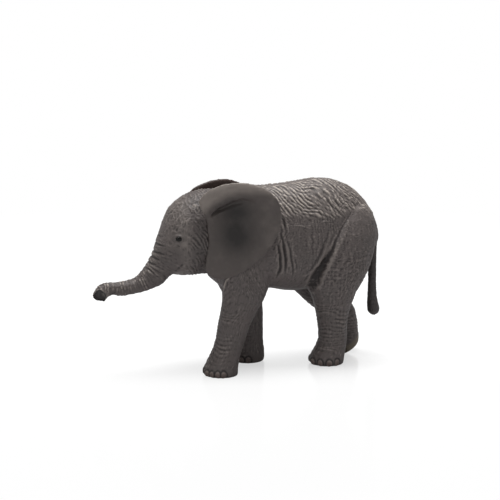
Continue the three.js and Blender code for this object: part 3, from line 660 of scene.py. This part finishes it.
# Pulls on the tip: their middle across and up, radius, and the way across and up, in mm
TIP_PULLS = [(0.9, -1.1, 1.7, 0.0, -1.4), (-1.3, 1.3, 1.4, 0.4, -0.35)]
pull = np.zeros(skin.shape)
for middle_across, middle_up, radius, way_across, way_up in TIP_PULLS:
    from_middle = np.stack([
        from_tip @ tip_across - middle_across, from_tip @ tip_up - middle_up, ahead_of_tip * 1.6,
    ], axis=1)
    caught = np.exp(-(np.linalg.norm(from_middle, axis=1) / radius) ** 2) * head_skin
    pull += caught[:, None] * (way_across * tip_across + way_up * tip_up)
print(f"tip pulled by {np.abs(pull).max():.2f} mm at most")

# %% [markdown]
# ## Eyes
# The eyes are small and glossy, set between two thin lids. The lids are part of the skin. The
# gloss paint is a thin lens of its own, so it can catch the light.

# %% Lids
EYE = np.array([-18.1, 43.5])
EYE_HALF_LONG, EYE_HALF_HIGH, EYE_TILT = 0.95, 0.72, 0.12
# The lid stands in a ring round the eye: its middle and width in half sizes of the eye, height in mm
LID_AT, LID_WIDE, LID_HIGH = 1.4, 0.35, 0.12
EYE_SUNK = 0.3
eye_x = (head_x - EYE[0]) / EYE_HALF_LONG
eye_z = (height - EYE[1] + EYE_TILT * (head_x - EYE[0])) / EYE_HALF_HIGH
eye_ring = np.hypot(eye_x, eye_z)
by_eye = ramp(np.abs(head_out), 4.0, 6.0) * head_skin
relief = np.where(eye_ring < 3, relief * (1 - by_eye * (1 - ramp(eye_ring, 1.8, 3))), relief)
relief += by_eye * LID_HIGH * np.exp(-((eye_ring - LID_AT) / LID_WIDE) ** 2)
relief -= by_eye * EYE_SUNK * (1 - ramp(eye_ring, 0.7, 1.2))
# Painted shade darkens the sunk ring round the eye
eye_socket = by_eye * (1 - ramp(eye_ring, 1.3, 2.2))
deep_shade = np.maximum(deep_shade, 0.7 * eye_socket)
print("socket points", int(eye_socket.sum()))

# %% [markdown]
# ## Legs, feet and tail
# The legs carry level rings at the ankles and a net of cells on the thighs. The toenails are low
# rounded plates set in the front of the pads, with a groove round each.

# %% The middle of each leg
LEG_RADIUS, LEVEL_STEP = 5, 1.5
legs_skin = sum(near[node] for node in LEG_NODES)
leg_middle = {}
leg_around = np.zeros(len(skin))
for node in LEG_NODES:
    own = near[node] > 0.5
    levels = np.arange(0, 50, LEVEL_STEP)
    rows = []
    for level in levels:
        band = own & (np.abs(height - level) < LEVEL_STEP)
        rows.append(skin[band][:, :2].mean(axis=0) if band.any() else rows[-1])
    rows = np.array(rows)
    leg_middle[node] = rows[1]
    from_x = skin[:, 0] - np.interp(height, levels, rows[:, 0])
    from_y = skin[:, 1] - np.interp(height, levels, rows[:, 1])
    leg_around = np.where(own, LEG_RADIUS * np.arctan2(from_y, from_x), leg_around)
print("feet at", {node: middle.round(1).tolist() for node, middle in leg_middle.items()})

# %% Legs
above_knee = ramp(height + warp[:, 0] * 2, 17.0, 24.0)
shank = legs_skin * (1 - above_knee) * ramp(height + warp[:, 2] * 1.2, 2.2, 4.2)
thigh = legs_skin * above_knee * (1 - ramp(height, 34.0, 40.0))
foot_slant = 0.3 * hind * leg_around * (1 - ramp(height, 5.0, 8.0))
ring_places = height + foot_slant + warp[:, 1] * 0.8
ankle_rings = wrinkles(leg_around + warp[:, 0] * 2, ring_places, 6.0, 1.3, 12)
leg_cracks = wrinkles(height + warp[:, 1], leg_around + warp[:, 0] * 1.5, 4.0, 1.0, 16)
square_cells = creases(leg_around + warp[:, 0], height + warp[:, 1], 1.5, 1.2, 13)
upright_cells = creases(height + warp[:, 1], leg_around + warp[:, 0], 2.3, 0.85, 19)
leg_cells = upright_cells * (1 - hind) + square_cells * hind
# The forelegs are ringed at their front only, the hind legs all round
front = ramp(-skin_normals[:, 0], -0.1, 0.6)
ringed_front = np.maximum(hind, front) * (0.6 + 0.4 * ramp(patchy[:, 0], -0.3, 0.5))
ankle_depth = ringed_front * (0.19 + 0.07 * hind)
relief += shank * (ankle_depth * ankle_rings + 0.05 * leg_cells + 0.08 * leg_cracks + 0.05 * grit)
relief += thigh * (0.07 * leg_cells + 0.09 * (1 + 0.8 * patchy[:, 2]) * leg_cracks + 0.06 * grit)
print(f"deepest ankle ring {(shank * ankle_depth).max():.2f} mm")

# %% Seam of the near foreleg, and the tail
# A thin raised seam at the front of the leg: places, sides, heights, half widths, depths
FORELEG_SEAM = [
    (-4.2, -9.8, 31.2, 0.3, -0.15), (-4.8, -8.8, 30.0, 0.32, -0.3), (-5.0, -8.1, 28.5, 0.32, -0.3),
    (-5.1, -7.5, 26.2, 0.3, 0),
]
seam_places = np.stack([behind, sideways, height], axis=1)
seam, _ = folded(seam_places, np.ones(len(skin)), FORELEG_SEAM, 0)
relief -= seam
tail_rings = wrinkles(height, skin[:, 1] * 2 + warp[:, 1] * 0.4, 4.0, 0.9, 14)
tail_cells = creases(height + warp[:, 0], 2 * skin[:, 1] + behind, 1.6, 0.9, 29)
relief += near["tail"] * (0.09 * tail_rings + 0.08 * tail_cells)
print(f"seam {-seam.min():.2f} mm high")

# %% Toenails
# The way each nail looks, in degrees from straight ahead toward the leg's outer side
NAIL_BEARINGS = {
    "foreleg_left": (-12, 12, 35, 57, 78), "foreleg_right": (-70, -45, -20, 5, 30),
    "hind_leg_left": (10, 42, 74, 104), "hind_leg_right": (-70, -38, -6, 26),
}
NAIL_HALF_WIDE, NAIL_HALF_HIGH, NAIL_MIDDLE = 1.02, 1.3, 1.1
NAIL_RISE, GROOVE_DEPTH = 0.1, 0.16
nails = np.zeros(len(skin))
for node, bearings in NAIL_BEARINGS.items():
    side = -1 if node.endswith("left") else 1
    centre = leg_middle[node]
    own = near[node] > 0.5
    reach = np.hypot(skin[:, 0] - centre[0], skin[:, 1] - centre[1])
    angle = np.arctan2(side * (skin[:, 1] - centre[1]), -(skin[:, 0] - centre[0]))
    for bearing in bearings:
        turned = (angle - math.radians(bearing) + math.pi) % (2 * math.pi) - math.pi
        edge = np.hypot(turned * reach / NAIL_HALF_WIDE, (height - NAIL_MIDDLE) / NAIL_HALF_HIGH)
        edge += 0.12 * warp[:, 2]
        plate = (1 - ramp(edge, 0.7, 1.0)) * own
        relief = relief * (1 - 0.7 * plate) + NAIL_RISE * plate
        groove = np.exp(-((edge - 1.15) / 0.25) ** 2) * own * (height > 0.4)
        relief -= GROOVE_DEPTH * groove
        # Painted shade darkens the groove round each nail, less toward its top
        deep_shade = np.maximum(deep_shade, 0.4 * groove * (1 - 0.6 * ramp(height, 1.6, 2.6)))
        nails = np.maximum(nails, plate)
print("toenail points", int(nails.sum()))

# %% [markdown]
# ## Move the skin and read the paint off it
# Every pattern above has only changed one number a point, its relief. Now the points move along
# their normals. A painter floods such a figure with a dark wash that stays in the creases, then
# drags an almost dry brush over the ridges. Here the wash also paints in the shade of the creases,
# and the brush a painted highlight on the ridges. Both come from the same number: how far a point
# lies below or above its surroundings.

# %% Move the points
AROUND_ROUNDS = 24  # the surroundings reach about 1.5 mm
skin = skin + skin_normals * relief[:, None] + pull
skin = np.clip(skin, cad_low, cad_high)
stand_out = relief - surroundings(relief, skin_edges, AROUND_ROUNDS)
print(f"stands out by {stand_out.max():.2f} mm at most")

# %% Wash and painted shade
# Painted shade also darkens the soles' lower edges and the head where the ears meet it
deep_shade = np.maximum(deep_shade, 0.7 * legs_skin * (1 - ramp(height, 0.2, 0.8)))
deep_shade = np.maximum(deep_shade, 0.9 * np.exp(-(by_ear / 0.8) ** 2) * head_skin * (1 - ramp(height, 45.0, 48.0)))
# A dark wash in the creases, which also paints in their shade, plus the painted shade of the folds, eye
# sockets, nail grooves, soles and ear seams
wash_and_shade = np.clip((0.68 + 0.14 * back_skin) * ramp(-stand_out, 0.006, 0.1) + 0.45 * deep_shade, 0, 0.95)
# Painted shade darkens the cheek, most at the temple, and the root of the trunk
TEMPLE_X, TEMPLE_Z, TEMPLE_RADIUS = -12.0, 47.2, 2.8
temple = np.exp(-((head_x - TEMPLE_X) ** 2 + (height - TEMPLE_Z) ** 2) / TEMPLE_RADIUS ** 2)
cheek_shade = cheek * (0.24 + 0.16 * temple) * (1 - dabs)
wash_and_shade = np.maximum(wash_and_shade, np.maximum(cheek_shade, 0.12 * root_skin))
print(f"mean wash {wash_and_shade.mean():.3f}")

# %% Dry brush and painted highlight
instep = legs_skin * ramp(height, 1.8, 3.6) * (1 - ramp(height, 4.2, 6.5)) * (0.6 + 0.4 * patchy[:, 1])
trunk_top = ramp(-head_x, 23.0, 28.0) * head_skin
worked = np.maximum.reduce([back_skin, 0.6 * crown * cheek, trunk_top, 0.7 * instep])
brush_and_highlight_share = 0.45 - 0.15 * face + 0.55 * worked
# The brush is laid on more where the faces turn up: a painted highlight of the top light
upward = ramp(skin_normals[:, 2], -0.3, 0.8)
brush_and_highlight = ramp(stand_out, 0.025, 0.10)
brush_and_highlight = brush_and_highlight * brush_and_highlight_share * (0.5 + 0.5 * upward) * (0.8 + 0.2 * patchy[:, 2]) * (1 - eye_socket)
nail_tops = nails * ramp(height, 1.2, 2.2) * (0.24 + 0.2 * patchy[:, 0])
# The back and the forehead also get an even painted highlight, where the top light falls on them
brush_and_highlight = brush_and_highlight + dabs + nail_tops + 0.1 * back_skin + 0.1 * forehead * (face - cheek)
# The seam's depths are negative, so it gets more of the brush
brush_and_highlight = np.clip(brush_and_highlight - 1.6 * seam, 0, 1)
print(f"mean brush {brush_and_highlight.mean():.3f}")

# %% [markdown]
# ## Materials
# The body is PVC painted with matt acrylic, which dries to a soft satin. A painted surface like
# this needs no texture image: its colour is a base that drifts a little with a broad noise, then
# layers of paint laid on by values stored on the points, and a very fine bump for the paint's grain.

# %% Node helper and colours
def paint(hex_colour):
    """An sRGB hex colour as the linear RGBA that sockets take."""
    channels = [int(hex_colour[i:i + 2], 16) / 255 for i in (1, 3, 5)]
    linear = [c / 12.92 if c <= 0.04045 else ((c + 0.055) / 1.055) ** 2.4 for c in channels]
    return (*linear, 1.0)


def add_node(tree, kind, inputs=None, **settings):
    """Adds one shader node. Inputs map a socket to a plain value or to another node's output."""
    node = tree.nodes.new("ShaderNode" + kind)
    for name, value in settings.items():
        setattr(node, name, value)
    for socket, value in (inputs or {}).items():
        if isinstance(value, bpy.types.NodeSocket):
            tree.links.new(value, node.inputs[socket])
        else:
            node.inputs[socket].default_value = value
    return node


def new_material(name):
    material = bpy.data.materials.new(name)
    material.use_nodes = True
    material.node_tree.nodes.clear()
    return material, material.node_tree


# %% Paints of the hide, the ears and the tail
PVC_IOR, MATTED = 1.53, 0.28
DRIFT_MM = 9  # the base drifts between its two tones over about this length
SMOOTHER, ROUGHER = 0.06, 0.08  # how far the roughness strays from its middle
GRAIN_STRENGTH = 0.6


def painted_hide(name, base, drift, layers, rough, grain_mm, grain_depth_mm):
    """Matt acrylic over PVC: a drifting base and layers of (point value, sRGB hex), laid on in turn."""
    material, tree = new_material(name)
    place = add_node(tree, "NewGeometry")
    broad = add_node(tree, "TexNoise", {
        "Vector": place.outputs["Position"], "Scale": 1 / (DRIFT_MM * MM), "Detail": 4.0,
    })
    colour = add_node(tree, "Mix", {
        0: broad.outputs[0], 6: paint(base), 7: paint(drift),
    }, data_type="RGBA")
    for attribute, tone in layers:
        value = add_node(tree, "Attribute", attribute_name=attribute)
        colour = add_node(tree, "Mix", {
            0: value.outputs["Fac"], 6: colour.outputs[2], 7: paint(tone),
        }, data_type="RGBA")
    grain = add_node(tree, "TexNoise", {
        "Vector": place.outputs["Position"], "Scale": 1 / (grain_mm * MM), "Detail": 3.0,
    })
    bump = add_node(tree, "Bump", {
        "Height": grain.outputs[0], "Strength": GRAIN_STRENGTH, "Distance": grain_depth_mm * MM,
    })
    sheen = add_node(tree, "MapRange", {
        0: broad.outputs[0], 3: rough - SMOOTHER, 4: rough + ROUGHER,
    })
    shader = add_node(tree, "BsdfPrincipled", {
        "Base Color": colour.outputs[2], "Roughness": sheen.outputs[0], "Normal": bump.outputs[0],
        "IOR": PVC_IOR, "Specular IOR Level": MATTED,
    })
    add_node(tree, "OutputMaterial", {"Surface": shader.outputs[0]})
    return material


# The wash layer is partly a dark wash and partly painted shade in the creases and folds, the brush layer
# partly a dry brush and partly painted highlight, and the nostril layer painted shade in the trunk's
# openings
hide_layers = [
    ("brush_and_highlight", "#9c938b"), ("wash_and_shade", "#1f1b1a"), ("nail", "#54443f"), ("sole", "#6d6453"),
    ("nostril", "#191716"),
]
hide_paint = painted_hide("painted_pvc_hide", "#4c4745", "#574f4d", hide_layers, 0.6, 0.35, 0.05)
# The ear's rim layer is partly dry brush and partly painted highlight. Its hollow and inner layers are
# painted shade, in the hollow and on the ear's back
ear_layers = [("rim", "#79716b"), ("hollow_shade", "#161312"), ("inner_shade", "#33241f")]
ear_paint = painted_hide("painted_pvc_ear", "#47413e", "#4f4845", ear_layers, 0.52, 0.45, 0.03)
tail_layers = [("brush_and_highlight", "#57504b"), ("wash_and_shade", "#1d1a1a")]
tail_paint = painted_hide("painted_pvc_tail", "#383332", "#403a38", tail_layers, 0.55, 0.35, 0.05)

# Clear gloss over nearly black paint
eye_gloss, tree = new_material("eye_gloss_enamel")
gloss = add_node(tree, "BsdfPrincipled", {
    "Base Color": paint("#0d0b0a"), "Roughness": 0.12, "IOR": 1.5, "Specular IOR Level": 0.2,
})
add_node(tree, "OutputMaterial", {"Surface": gloss.outputs[0]})
print("materials", [m.name for m in (hide_paint, ear_paint, tail_paint, eye_gloss)])

# %% [markdown]
# ## Part the skin into its mouldings
# The skin is parted along the lines where the solids meet. Each part keeps the shading of the
# whole skin along its rim, so the seam doesn't show, and is closed by a cap inside the body, as
# the glued face of the real moulding is.

# %% Close a part
def cap_rims(points, faces):
    """Closes every rim of an open skin with a fan to the rim's middle: new points and triangles."""
    sides = sides_of(faces).astype(np.int64)
    key, back = sides @ (len(points), 1), sides @ (1, len(points))
    rim = sides[~np.isin(key, back)]
    following = {}
    for a, b in rim.tolist():
        following.setdefault(a, []).append(b)
    triangles, extra = [], []
    while following:
        start = next(iter(following))
        loop, here = [], start
        while True:
            loop.append(here)
            nexts = following[here]
            there = nexts.pop()
            if not nexts:
                del following[here]
            here = there
            if here == start or here not in following:
                break
        hub = len(points) + len(extra)
        extra.append(points[loop].mean(axis=0))
        triangles += [(loop[(i + 1) % len(loop)], loop[i], hub) for i in range(len(loop))]
    return np.array(extra).reshape(-1, 3), triangles


def make_piece(name, points, faces, normals, values, material, node):
    """A closed piece of skin as an object that stands for one node."""
    used, corners = np.unique(faces, return_inverse=True)
    corners = corners.reshape(faces.shape)
    own = points[used]
    extra, triangles = cap_rims(own, corners)
    mesh = bpy.data.meshes.new(name)
    mesh.from_pydata((np.concatenate([own, extra]) * MM).tolist(), [], corners.tolist() + triangles)
    mesh.polygons.foreach_set("use_smooth", [True] * len(mesh.polygons))
    for key, all_values in values.items():
        store_values(mesh, key, np.concatenate([all_values[used], np.zeros(len(extra))]))
    outward = np.concatenate([normals[used], np.tile((0.0, 0.0, 1.0), (len(extra), 1))])
    mesh.normals_split_custom_set_from_vertices(outward.tolist())
    mesh.materials.append(material)
    piece = placed(name, mesh)
    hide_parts(node)
    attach(piece, "root")
    print(name, len(mesh.polygons), "faces")


# %% Part the body's skin
final_normals = normals_of(skin, skin_faces)
corner_owner = nearest[skin_faces]
votes = np.stack([(corner_owner == index).sum(axis=1) for index in range(len(BODY_NODES))])
face_owner = votes.argmax(axis=0)
# The right hind foot stands on its toes, and its lifted sole shows the pad's own colour
HEEL_FROM, HEEL_SLOPE = 35.5, math.tan(math.radians(27))
above_sole = height - np.maximum(skin[:, 0] - HEEL_FROM, 0) * HEEL_SLOPE
lifted_sole = near["hind_leg_right"] * (1 - ramp(above_sole, 1.2, 2.6))
lifted_sole *= ramp(skin[:, 0], HEEL_FROM, HEEL_FROM + 2)
# Shares below 1 let the paint underneath show through
values = {
    "wash_and_shade": wash_and_shade, "brush_and_highlight": brush_and_highlight, "nail": nails * (0.6 - 0.9 * nail_tops), "sole": lifted_sole * 0.65,
    # The nostril paint is painted shade inside the trunk's openings
    "nostril": nostril * 0.85,
}
for index, node in enumerate(BODY_NODES):
    material, slot = (tail_paint, "tail_hide") if node == "tail" else (hide_paint, "hide")
    own_faces = skin_faces[face_owner == index]
    make_piece(node + "_skin", skin, own_faces, final_normals, values, material, node)

# %% [markdown]
# ## Ears
# Each ear is a thin satin plate, much smoother than the hide. It gets a skin of its own at a finer
# pitch, a deep crease under its rolled rim, and a hollow painted dark with the shade under the rim.
# Where it meets the head it swells a little, as glue and paint fill the seam there. Everything on
# it is placed by shares of the ear's own box, so both ears take the same drawing.

# %% Ears
EAR_PITCH, EAR_ROUNDS = 0.34, 16
EAR_TURN = {"ear_left": math.radians(-26), "ear_right": math.radians(8)}
# The slit under the rim, the soft dip along the front edge and the raised band inside the rear
# edge: shares from front to rear and from low to high, half widths and depths in mm
EAR_CREASES = [
    [(0.14, 0.64, 0.25, 0), (0.18, 0.675, 0.35, 0.7), (0.25, 0.715, 0.4, 0.9), (0.31, 0.735, 0.4, 0.6),
     (0.4, 0.77, 0.6, 0.55), (0.52, 0.8, 0.7, 0.5), (0.62, 0.8, 0.7, 0.2), (0.7, 0.78, 0.6, 0)],
    [(0.08, 0.5, 0.6, 0), (0.12, 0.36, 0.8, 0.2), (0.1, 0.2, 0.6, 0)],
    [(0.58, 0.88, 0.8, 0), (0.7, 0.82, 1.0, -0.3), (0.77, 0.7, 1.0, -0.2), (0.79, 0.5, 0.9, -0.14),
     (0.76, 0.3, 0.8, 0)],
]
# How high the rim's lighter paint starts, partly dry brush and partly painted highlight, at shares from
# front to rear
RIM_FROM = ([0, 0.12, 0.17, 0.25, 0.36, 0.5, 0.8], [0.6, 0.66, 0.7, 0.75, 0.8, 0.83, 0.84])
for node in EAR_NODES:
    points, faces = moulding([node], 0, EAR_PITCH, EAR_ROUNDS)
    to_body = np.minimum(distances_to("head", points), distances_to("torso", points) + 1)
    fine = subdivided(node, points, faces, {"seam": to_body})
    points, faces = points_of(fine), quads_of(fine)
    to_body = values_of(fine, "seam")
    normals = normals_of(points, faces)
    turn = EAR_TURN[node]
    outward = np.array([math.sin(turn), -math.cos(turn)]) * (1 if node == "ear_left" else -1)
    back = points[:, 0] * math.cos(turn) + points[:, 1] * math.sin(turn)
    places = np.stack([back, points[:, 2]], axis=1)
    low_corner = places.min(axis=0)
    span = places.max(axis=0) - low_corner
    to_rear, to_top = ((places - low_corner) / span).T
    facing = normals[:, :2] @ outward
    outside = ramp(facing, -0.1, 0.3)
    # The form: a soft unevenness, a broad fan of folds and fine lines along the rear edge
    drift = soft_noise(points, 3.0, 21)[:, 0] * 0.06 + soft_noise(points, 1.0, 22)[:, 0] * 0.02
    fan = wrinkles(to_top * span[1], to_rear * span[0], 14.0, 3.4, 23, 0.8)
    drift += 0.08 * fan * outside * ramp(1 - to_top, 0.2, 0.5)
    rear_lines = wrinkles(to_top * span[1], to_rear * span[0], 6.0, 1.1, 26, 0.7)
    drift += 0.09 * rear_lines * outside * ramp(to_rear, 0.74, 0.82) * ramp(0.7 - to_top, 0, 0.15)
    # The creases are cut in, and each darkens the paint along it with painted shade
    crease_shade = np.zeros(len(points))
    for crease in EAR_CREASES:
        line = [(*(low_corner + np.array(row[:2]) * span), *row[2:]) for row in crease]
        depth, dark = folded(places, widths_of(places), line)
        drift -= depth * outside
        crease_shade = np.maximum(crease_shade, dark * outside)
    drift += 0.26 * np.exp(-to_body / 0.9)
    points = np.clip(points + normals * drift[:, None], cad_low, cad_high)
    # The paint: painted shade in the middle, under the rim, along the creases and at the seam, and a light
    # rim, partly dry brush and partly painted highlight
    middle = np.exp(-((to_rear - 0.46) / 0.22) ** 2 - ((to_top - 0.46) / 0.2) ** 2)
    under_rim = np.exp(-((to_rear - 0.45) / 0.24) ** 2 - ((to_top - 0.72) / 0.11) ** 2)
    mottle = soft_noise(points, 2.2, 24)[:, 0] + 0.5 * soft_noise(points, 0.9, 25)[:, 0]
    hollow_shade = np.clip((0.9 * middle + 0.6 * under_rim) * (1 + 0.16 * mottle) + 0.06, 0, 0.9) * outside
    seam_shade = np.exp(-(to_body / 0.5) ** 2) * ramp(0.66 - to_top, 0, 0.1) * outside
    crease_shade = np.maximum(crease_shade, 0.75 * seam_shade)
    # A lighter rim, partly dry brush and partly painted highlight where the top light falls
    top = ramp(to_top - np.interp(to_rear, *RIM_FROM), 0.0, 0.13) * outside
    rear = ramp(to_rear, 0.72, 0.86) * ramp(to_top, 0.2, 0.4) * outside
    values = {
        "hollow_shade": np.maximum(hollow_shade * (1 - 0.9 * top), 0.9 * crease_shade),
        "rim": np.clip(0.85 * top + 0.1 * rear + 0.12 * mottle * outside, 0, 1),
        # Painted shade on the ear's back, in a dark reddish brown
        "inner_shade": 0.8 * ramp(-facing, 0.0, 0.5),
    }
    make_piece(node + "_skin", points, faces, normals_of(points, faces), values, ear_paint, node)

# %% [markdown]
# ## The gloss of the eyes
# Each eye is a small lens turned on a profile, a little longer than high, set between the lids. A
# ray toward the middle of the head finds the place where it sits on the carved skin.

# %% Eyes
EYE_BULGE, EYE_RINGS, EYE_SIDES = 0.34, 7, 24
EYE_EDGE, EYE_TOP = -40, 90  # where the profile starts and ends, in degrees above the lens's rim
EYE_OUTWARD = 0.75  # the lens looks straight out by this share, and along the skin's normal by the rest
body_tree = BVHTree.FromPolygons(skin.tolist(), skin_faces.tolist())


def on_turned_head(place):
    return Vector(as_head_turns(place) + (*NECK, 0))


for name, side in (("eye_left", -1), ("eye_right", 1)):
    aim = on_turned_head((EYE[0], side * 20, EYE[1]))
    inward = on_turned_head((EYE[0], 0, EYE[1])) - aim
    spot, outward, _, _ = body_tree.ray_cast(aim, inward.normalized())
    outward = -inward.normalized() * EYE_OUTWARD + outward * (1 - EYE_OUTWARD)
    turn = outward.normalized().to_track_quat("Z", "Y")
    lens = bmesh.new()
    rings = []
    for ring in range(EYE_RINGS):
        lean = math.radians(EYE_EDGE + (EYE_TOP - EYE_EDGE) * ring / (EYE_RINGS - 1))
        radius, rise = math.cos(lean), math.sin(lean) * EYE_BULGE
        angles = [2 * math.pi * i / EYE_SIDES for i in range(EYE_SIDES)]
        long, high = EYE_HALF_LONG * radius, EYE_HALF_HIGH * radius
        around = [(long * math.cos(a), high * math.sin(a)) for a in angles]
        if ring == EYE_RINGS - 1:
            around = [(0, 0)]
        rings.append([lens.verts.new((spot + turn @ Vector((*xy, rise))) * MM) for xy in around])
    for low, high in zip(rings[:-1], rings[1:]):
        for i in range(EYE_SIDES):
            j = (i + 1) % EYE_SIDES
            corners = [low[i], low[j], high[0]] if len(high) == 1 else [low[i], low[j], high[j], high[i]]
            lens.faces.new(corners).smooth = True
    lens.faces.new(list(reversed(rings[0])))
    mesh = bpy.data.meshes.new(name)
    lens.to_mesh(mesh)
    lens.free()
    mesh.materials.append(eye_gloss)
    eye = placed(name, mesh)
    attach(eye, "root")
    print(name, "at", [round(c, 1) for c in spot])

# %% [markdown]
# ## Floor
# The figure stands on a white glossy sheet. To the camera the sheet is part plain white and part
# lit surface, so it stays white but keeps the shadow. Far from the figure and in front of its feet
# it turns to plain white, as the strong front light makes the sheet in the photograph.

# %% Floor
SHEET_HALF = 6.0
SHEET_UNDER_MM = 0.02  # a hair below the soles
floor_mesh = bpy.data.meshes.new("floor")
sheet_corners = [(x * SHEET_HALF, y * SHEET_HALF, 0) for x, y in ((-1, -1), (1, -1), (1, 1), (-1, 1))]
floor_mesh.from_pydata(sheet_corners, [], [(0, 1, 2, 3)])
floor = placed("floor", floor_mesh)
floor.location.z = -SHEET_UNDER_MM * MM

WHITE = paint("#ffffff")
SHEET_GREY, BOUNCE_GREY = (0.34, 0.34, 0.34, 1), (0.55, 0.55, 0.56, 1)  # linear shares of the light
white_sheet, tree = new_material("white_sheet")
place = add_node(tree, "NewGeometry")
far = add_node(tree, "VectorMath", {0: place.outputs["Position"]}, operation="LENGTH")
# A Map Range takes the range in its sockets 1 and 2 to the one in 3 and 4
away = add_node(tree, "MapRange", {0: far.outputs["Value"], 1: 0.12, 2: 0.35, 3: 0.0, 4: 1.0})
ahead = add_node(tree, "VectorMath", {
    0: place.outputs["Position"], 1: (toward_camera.x, toward_camera.y, 0),
}, operation="DOT_PRODUCT")
in_front = add_node(tree, "MapRange", {
    0: ahead.outputs["Value"], 1: -0.002, 2: 0.022, 3: 0.0, 4: 0.85,
})
whiter = add_node(tree, "Math", {0: away.outputs[0], 1: in_front.outputs[0]}, operation="MAXIMUM")
matt = add_node(tree, "BsdfDiffuse", {"Color": SHEET_GREY})
mirror = add_node(tree, "BsdfGlossy", {"Color": WHITE, "Roughness": 0.14})
lit = add_node(tree, "MixShader", {0: 0.35, 1: matt.outputs[0], 2: mirror.outputs[0]})
glow = add_node(tree, "Emission", {"Color": WHITE, "Strength": 0.58})
both = add_node(tree, "AddShader", {0: lit.outputs[0], 1: glow.outputs[0]})
plain = add_node(tree, "Emission", {"Color": WHITE, "Strength": 1.0})
seen = add_node(tree, "MixShader", {0: whiter.outputs[0], 1: both.outputs[0], 2: plain.outputs[0]})
# The figure gets the light that a plain grey sheet throws back
rays = add_node(tree, "LightPath")
dull = add_node(tree, "BsdfPrincipled", {"Base Color": BOUNCE_GREY, "Roughness": 0.6})
shown = add_node(tree, "MixShader", {
    0: rays.outputs["Is Camera Ray"], 1: dull.outputs[0], 2: seen.outputs[0],
})
add_node(tree, "OutputMaterial", {"Surface": shown.outputs[0]})
floor_mesh.materials.append(white_sheet)
print("floor of", 2 * SHEET_HALF, "m")

# %% [markdown]
# ## Light
# The photograph has soft light from all round. A bright band along the horizon lights the flanks,
# a dimmer sky lies above it, and one large lamp overhead lights the back and gives a soft shadow.
# A weak lamp on the camera's side opens up the shadows.

# %% Surroundings
world = bpy.data.worlds.new("studio")
world.use_nodes = True
tree = world.node_tree
tree.nodes.clear()
rays = add_node(tree, "LightPath")
sky_place = add_node(tree, "TexCoord")
rise = add_node(tree, "SeparateXYZ", {0: sky_place.outputs["Generated"]})
band = add_node(tree, "MapRange", {
    0: rise.outputs["Z"], 1: 0.12, 2: 0.34, 3: 1.0, 4: 0.16,
}, interpolation_type="SMOOTHSTEP")
soft = add_node(tree, "Background", {"Color": WHITE, "Strength": band.outputs[0]})
white = add_node(tree, "Background", {"Color": WHITE, "Strength": 1.0})
sky = add_node(tree, "MixShader", {
    0: rays.outputs["Is Camera Ray"], 1: soft.outputs[0], 2: white.outputs[0],
})
add_node(tree, "OutputWorld", {"Surface": sky.outputs[0]})
bpy.context.scene.world = world
print("world", world.name)

# %% Lamps
LAMPS_AIM = Vector((0, 0, 30 * MM))


def softbox(name, place_mm, size_mm, watts):
    """A square area lamp aimed at the figure."""
    data = bpy.data.lights.new(name, "AREA")
    data.shape = "SQUARE"
    data.size = size_mm * MM
    data.energy = watts
    lamp = placed(name, data)
    lamp.location = Vector(place_mm) * MM
    lamp.rotation_euler = (lamp.location - LAMPS_AIM).to_track_quat("Z", "Y").to_euler()
    print(name, watts, "W")


softbox("overhead", (40, 40, 520), 320, 4.2)
softbox("front_left", (-420, -420, 260), 300, 0.65)
